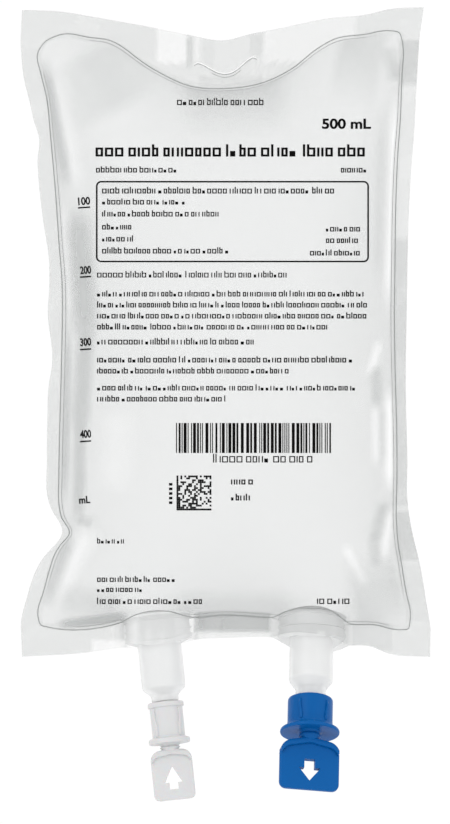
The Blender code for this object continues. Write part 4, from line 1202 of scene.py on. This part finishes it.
def cap(port, material):
    """Barrel, ribs, disc, break-off neck and tab in one moulding, hollow round the tube's end."""
    start = -BOAT_HEIGHT - port["tube_length"] - port["shoulder"] - port["neck_length"]
    radius, disc, neck = port["cap"] / 2, port["disc"] / 2, port["break_neck"] / 2
    bead_radius = radius + port["bead"]
    disc_top = start - port["barrel"] - port["flare"]
    disc_low = disc_top - port["disc_thickness"]
    dish, notch_depth, rim = port["dish"], port["break_notch"], port["disc_thickness"] / 3
    notch = disc_low + dish - 2 * notch_depth
    tab_top = disc_low + dish - port["break_length"]
    bore, mouth = port["spigot"] / 2 + SEAT_GAP, port["septum_opening"] / 2
    ledge = start - port["spigot_length"] - port["septum_thickness"] - 2 * SEAT_GAP
    hollow_end = disc_low + dish + notch_depth
    inside = [(0, hollow_end), (mouth, hollow_end), (mouth, ledge), (bore, ledge), (bore, start)]
    outside = [(bead_radius, start)]
    if port["bead"]:
        outside += [(bead_radius, start - port["bead_height"]), (radius, start - port["bead_height"])]
    outside += [
        (radius, disc_top + port["flare"]), (radius + (disc - radius) * 0.2, disc_top + port["flare"] * 0.35),
        (disc, disc_top), (disc, disc_low), (neck + notch_depth, disc_low + dish),
        (neck - notch_depth, notch), (neck, notch - notch_depth), (neck, tab_top + 0.0005),
        (port["tab_shoulder"] * TAB_SWELL, tab_top - NECK_IN_TAB), (0, tab_top - NECK_IN_TAB),
    ]
    profile = eased(inside + outside, max(rim, port["round"] * 0.6), 4)
    body = piece_from(turned(profile), port["name"] + "_cap_moulding")
    high = start - max(port["bead_height"], port["round"]) - RIB_BELOW_RIM
    low = disc_top + port["flare"] * 0.8
    for k, angle in enumerate(port["ribs"]):
        cut_or_join(body, grip_rib(radius, low, high, angle, 1 if k % 2 else -1), "UNION")
    cut_or_join(body, tab(port, tab_top), "UNION")
    body.data.materials.clear()
    body.data.materials.append(material)
    body.data.shade_smooth()
    body.data.set_sharp_from_angle(angle=math.radians(38))
    body.data.transform(port_place(port) @ Matrix.Rotation(port["turn"], 4, "Z"))
    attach(body, "root")
    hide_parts(port["name"] + "_cap")
    return body


caps = [cap(INFUSION, blue), cap(INJECTION, white)]
print("cap faces:", [len(c.data.polygons) for c in caps])

# %% [markdown]
# The septa are plain rubber discs that the caps hide, so the CAD meshes stay and only get their
# rubber.

# %% Septa
for node in ("infusion_septum", "injection_septum"):
    nodes[node].data.materials.clear()
    nodes[node].data.materials.append(rubber)
    print(node, "is", rubber.name)


# %% [markdown]
# ## Print
#
# The real bag is printed in black. Only the volume scale and the marked volume are kept as
# figures. Everything else is drawn as plain strokes and blocks that say nothing. The marks are
# made flat, as the camera sees them, and become a thin layer of ink lying on the front film. An
# image on the film would be simpler, but shapes stay sharp and go out with the mesh.

# %% Flat patches and rows of them
BEND_STEP = 0.0022
UPRIGHT = Matrix.Rotation(math.radians(90), 4, "X")

chance = random.Random(5)
marks = bmesh.new()


def patch(x0, y0, x1, y1, tilt=0.0):
    """A flat filled rectangle between two corners, in pixels, split so that it can bend."""
    left, top = at_pixel(x0, y0)
    right, bottom = at_pixel(x1, y1)
    width, height = abs(right - left), abs(top - bottom)
    place = Matrix.Translation(((left + right) / 2, 0, (top + bottom) / 2)) @ UPRIGHT
    place = place @ Matrix.Rotation(tilt, 4, "Z") @ Matrix.Diagonal((width, height, 1, 1))
    bmesh.ops.create_grid(
        marks, x_segments=max(1, round(width / BEND_STEP)), y_segments=max(1, round(height / BEND_STEP)),
        size=0.5, matrix=place,
    )


SHAPES = ("box", "box", "box", "bar", "bars", "block")


def words(x0, x1, base, height, stroke):
    """A row of small boxes, bars and blocks with gaps, as dense as a line of print."""
    x = x0
    while x < x1 - 0.5 * height:
        for _ in range(chance.choice((2, 3, 4, 5, 6, 7, 8))):
            shape, tall = chance.choice(SHAPES), chance.random() < 0.22
            width = stroke if shape == "bar" else height * chance.choice((0.72, 0.84, 0.94))
            top = base - height * (1.36 if tall else 1.0)
            if x + width > x1:
                return
            if shape == "block":
                patch(x, base - 0.62 * height, x + 0.7 * width, base)
            else:
                patch(x, top, x + stroke, base)
            if shape in ("box", "bars"):
                patch(x + width - stroke, base - height, x + width, base)
            if shape == "box":
                patch(x + stroke, base - stroke * 0.85, x + width - stroke, base)
                patch(x + stroke, base - height, x + width - stroke, base - height + stroke * 0.85)
            x += width + height * 0.19
        x += height * 0.36


print("shapes in a line of print:", sorted(set(SHAPES)))


# %% [markdown]
# Figures could be drawn from patches too, but round ones look rough. They are Blender's own text,
# made a little bolder, turned into a flat mesh and stretched into their place.

# %% Figures
def figures(text, x0, x1, y0, y1, bold=0.0, tilt=0.0):
    """Plain figures that fill a rectangle, in pixels."""
    curve = bpy.data.curves.new("figures", "FONT")
    curve.body = text
    curve.offset = bold
    writing = bpy.data.objects.new("figures", curve)
    scene.collection.objects.link(writing)
    bpy.context.view_layer.update()
    mesh = bpy.data.meshes.new_from_object(writing.evaluated_get(bpy.context.evaluated_depsgraph_get()))
    bpy.data.objects.remove(writing)
    points = np.array([v.co for v in mesh.vertices])
    low, high = points.min(axis=0), points.max(axis=0)
    (left, bottom), (right, top) = at_pixel(x0, y1), at_pixel(x1, y0)
    grow = Matrix.Diagonal(((right - left) / (high[0] - low[0]), (top - bottom) / (high[1] - low[1]), 1, 1))
    centre = Vector(((left + right) / 2, 0, (top + bottom) / 2))
    place = Matrix.Translation(centre) @ UPRIGHT @ Matrix.Rotation(tilt, 4, "Z") @ grow
    mesh.transform(place @ Matrix.Translation((-(low[0] + high[0]) / 2, -(low[1] + high[1]) / 2, 0)))
    marks.from_mesh(mesh)
    bpy.data.meshes.remove(mesh)


print("faces laid so far:", len(marks.faces))

# %% [markdown]
# The scale shows how much is left in the hanging bag, so its figures stand beside the rows of
# print, each over a line at its level.

# %% Volume scale
TILT = math.radians(4)
for text, x0, x1, y0, y1, line in (
    ("100", 78, 90, 197, 205, 207.5), ("200", 80, 91, 266, 274, 276.8), ("300", 80, 91, 338, 346, 349.3),
    ("400", 80, 91, 430, 438, 441.3),
):
    figures(text, x0, x1, y0, y1, bold=0.028, tilt=TILT)
    patch(x0, line - 0.75, x1, line + 0.75, tilt=TILT)
figures("mL", 79, 90, 496, 503.5, bold=0.028, tilt=TILT)
figures("500 mL", 322, 371, 118.5, 129, bold=0.032)
print("marks of the scale:", len(marks.faces), "flat faces")

# %% [markdown]
# Lines of print are rows of shapes from a seeded chance, so that every run gives the same ones.
# The frame is four strips and four arcs of short patches.

# %% Lines of text and frame
words(177, 264, 105, 5.2, 1.15)
words(95.5, 373, 156.5, 9.0, 2.4)
words(96, 182, 172.5, 4.6, 1.15)
words(341, 370, 172.5, 4.6, 1.15)
FRAME_LINE, FRAME_CORNER = 0.8, 4.6
for side_x in (96.7, 368.2):
    patch(side_x - FRAME_LINE, 186, side_x + FRAME_LINE, 257)
for side_y in (181.7, 261.5):
    patch(101, side_y - FRAME_LINE, 364, side_y + FRAME_LINE)
for centre_x, centre_y, first in (
    (101.3, 186.3, 180), (363.6, 186.3, 270), (363.6, 256.9, 0), (101.3, 256.9, 90),
):
    for k in range(6):
        angle = math.radians(first + 15 * k + 7.5)
        x, y = centre_x + FRAME_CORNER * math.cos(angle), centre_y + FRAME_CORNER * math.sin(angle)
        patch(x - FRAME_LINE, y - 0.75, x + FRAME_LINE, y + 0.75, tilt=-angle)
for base, end, size, stroke in (
    (193.5, 336, 4.9, 1.2), (204.5, 189, 4.5, 1.15), (216.5, 220, 4.6, 1.15), (229.5, 134, 4.5, 1.15),
    (241.5, 138, 4.5, 1.15), (253.5, 230, 4.6, 1.15),
):
    words(102, end, base, size, stroke)
for base, start in ((231.5, 326), (243, 326), (255.5, 310)):
    words(start, 362, base, 4.5, 1.15)
for base, end, size, stroke in (
    (277.5, 290, 4.8, 1.1), (296.5, 367, 4.5, 1.15), (307.5, 367, 4.5, 1.15), (318.5, 367, 4.5, 1.15),
    (329.5, 333, 4.5, 1.15), (344.5, 257, 4.8, 1.15), (362.5, 357, 4.7, 1.2), (373.5, 289, 4.5, 1.15),
    (390.5, 358, 4.5, 1.15), (401.5, 227, 4.5, 1.15),
):
    words(97, end, base, size, stroke)
words(97, 126, 543.5, 4.2, 1.0)
words(97, 180, 582, 4.4, 1.15)
words(97, 146, 592, 4.2, 1.15)
words(97, 205, 604, 4.6, 1.15)
words(231, 254, 484.5, 5.0, 1.4)
words(231, 254, 500.5, 5.0, 1.4)
words(317, 355, 604, 5.4, 1.2)
print("marks with the lines:", len(marks.faces), "flat faces")

# %% [markdown]
# On the bag two codes are scanned when it is handed out. Here both are patterns of chance that
# hold no message: bars of one to three widths, and a square of modules with the usual solid and
# dotted sides.

# %% Codes
BARS_LEFT, BARS_RIGHT, BARS_TOP, BARS_LOW = 176.0, 331, 423, 453
x = BARS_LEFT
while x < BARS_RIGHT - 1:
    bar = chance.choice((1.0, 1.0, 2.0, 3.0))
    patch(x, BARS_TOP, min(x + bar, BARS_RIGHT), BARS_LOW)
    x += bar + chance.choice((1.0, 1.0, 1.6, 2.4))
words(213, 318, 462.5, 6.4, 1.2)

MODULES, SQUARE_SIZE, SQUARE_LEFT, SQUARE_TOP = 18, 35.0, 176.5, 475.5
MODULE, LAST = SQUARE_SIZE / MODULES, MODULES - 1
MODULE_FILL, FILLED_SHARE = 0.97, 0.48
for row in range(MODULES):
    for column in range(MODULES):
        solid = column == 0 or row == LAST
        dotted = (row == 0 and column % 2 == 0) or (column == LAST and row % 2 == 1)
        if solid or dotted or chance.random() < FILLED_SHARE:
            corner_x, corner_y = SQUARE_LEFT + column * MODULE, SQUARE_TOP + row * MODULE
            patch(corner_x, corner_y, corner_x + MODULE * MODULE_FILL, corner_y + MODULE * MODULE_FILL)
for row in range(5):
    patch(169.0, 483 + row * 4.6, 172.4, 485.6 + row * 4.6)
print("marks:", len(marks.faces), "flat faces")

# %% [markdown]
# The marks were laid out flat as the camera sees them, so each point is carried along its line of
# sight from the camera to the front film, and then given the thickness of a heavy ink film.

# %% Lay the marks on the film
INK_THICKNESS, INK_ABOVE_FILM = 0.00005, 0.00008
front_film = BVHTree.FromObject(films["film_front"], bpy.context.evaluated_depsgraph_get())
eye = camera.location
missed = 0
for vert in marks.verts:
    sight = (vert.co - eye).normalized()
    hit = front_film.ray_cast(eye, sight)[0]
    if hit is None:
        missed += 1
    else:
        vert.co = hit - sight * INK_ABOVE_FILM
bmesh.ops.recalc_face_normals(marks, faces=marks.faces)
for face in marks.faces:
    if face.normal.y > 0:
        face.normal_flip()
bmesh.ops.solidify(marks, geom=marks.faces, thickness=INK_THICKNESS)
marks_piece = piece_from(marks, "print_marks", ink, sharp=40)
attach(marks_piece, "root")
print("points that miss the film:", missed, "faces:", len(marks_piece.data.polygons))


# %% [markdown]
# ## Room
#
# The room is white behind the bag and a little darker at the camera's side, because clear things
# get their grey edges only from what is darker around them. The floor lies well below the
# hanging bag, out of the camera's sight.

# %% Floor
FLOOR_LEVEL, FLOOR_RADIUS = -0.60, 4.5

bm = bmesh.new()
bmesh.ops.create_circle(bm, cap_ends=True, segments=96, radius=FLOOR_RADIUS)
bmesh.ops.translate(bm, verts=bm.verts, vec=(0, 0, FLOOR_LEVEL))
floor_paint = finish("pale_floor", (0.9, 0.9, 0.9), 0.8)[0]
floor = piece_from(bm, "floor", floor_paint)
print("floor lies", round(-FLOOR_LEVEL, 2), "m below the slit")

# %% [markdown]
# A photographer hangs such a bag in a white tent. Walls that shine would do, but a world colour
# that runs from grey behind the camera to white behind the bag is the same light without noise.

# %% Light of the room
world = bpy.data.worlds.new("room")
scene.world = world
world.use_nodes = True
room = world.node_tree
room.nodes.clear()
direction = room.nodes.new("ShaderNodeTexCoord")
split = room.nodes.new("ShaderNodeSeparateXYZ")
shift = room.nodes.new("ShaderNodeMapRange")
shade = room.nodes.new("ShaderNodeValToRGB")
background = room.nodes.new("ShaderNodeBackground")
output = room.nodes.new("ShaderNodeOutputWorld")
shift.inputs["From Min"].default_value = -1.0
shift.inputs["From Max"].default_value = 1.0
room.links.new(direction.outputs["Generated"], split.inputs[0])
room.links.new(split.outputs["Y"], shift.inputs["Value"])
room.links.new(shift.outputs["Result"], shade.inputs["Fac"])
room.links.new(shade.outputs["Color"], background.inputs["Color"])
room.links.new(background.outputs["Background"], output.inputs["Surface"])
shade.color_ramp.elements[0].position = 0.0
shade.color_ramp.elements[0].color = (0.84, 0.84, 0.84, 1)
shade.color_ramp.elements[1].position = 0.85
shade.color_ramp.elements[1].color = (1.0, 1.0, 1.0, 1)
background.inputs["Strength"].default_value = 1.02
scene.view_settings.view_transform = "Standard"


print("light of the room:", [round(stop.color[0], 2) for stop in shade.color_ramp.elements])


# %% [markdown]
# Three weak soft boxes give the mouldings their highlights. The liquid doesn't show them, because
# they would shine through it as spots that a bag in a white tent doesn't have.

# %% Soft boxes
def soft_light(name, place, size, watts):
    """A square soft box that looks at the bag."""
    data = bpy.data.lights.new(name, "AREA")
    data.size = size
    data.energy = watts
    light = bpy.data.objects.new(name, data)
    light.location = place
    light.rotation_euler = (Vector((0, 0, -0.1)) - Vector(place)).to_track_quat("-Z", "Y").to_euler()
    light.visible_transmission = False
    scene.collection.objects.link(light)


soft_light("key", (-0.9, -1.2, 0.7), 1.0, 6)
soft_light("fill", (1.0, -1.1, 0.2), 0.8, 3)
soft_light("overhead", (0.0, 1.2, 2.6), 3.0, 16)
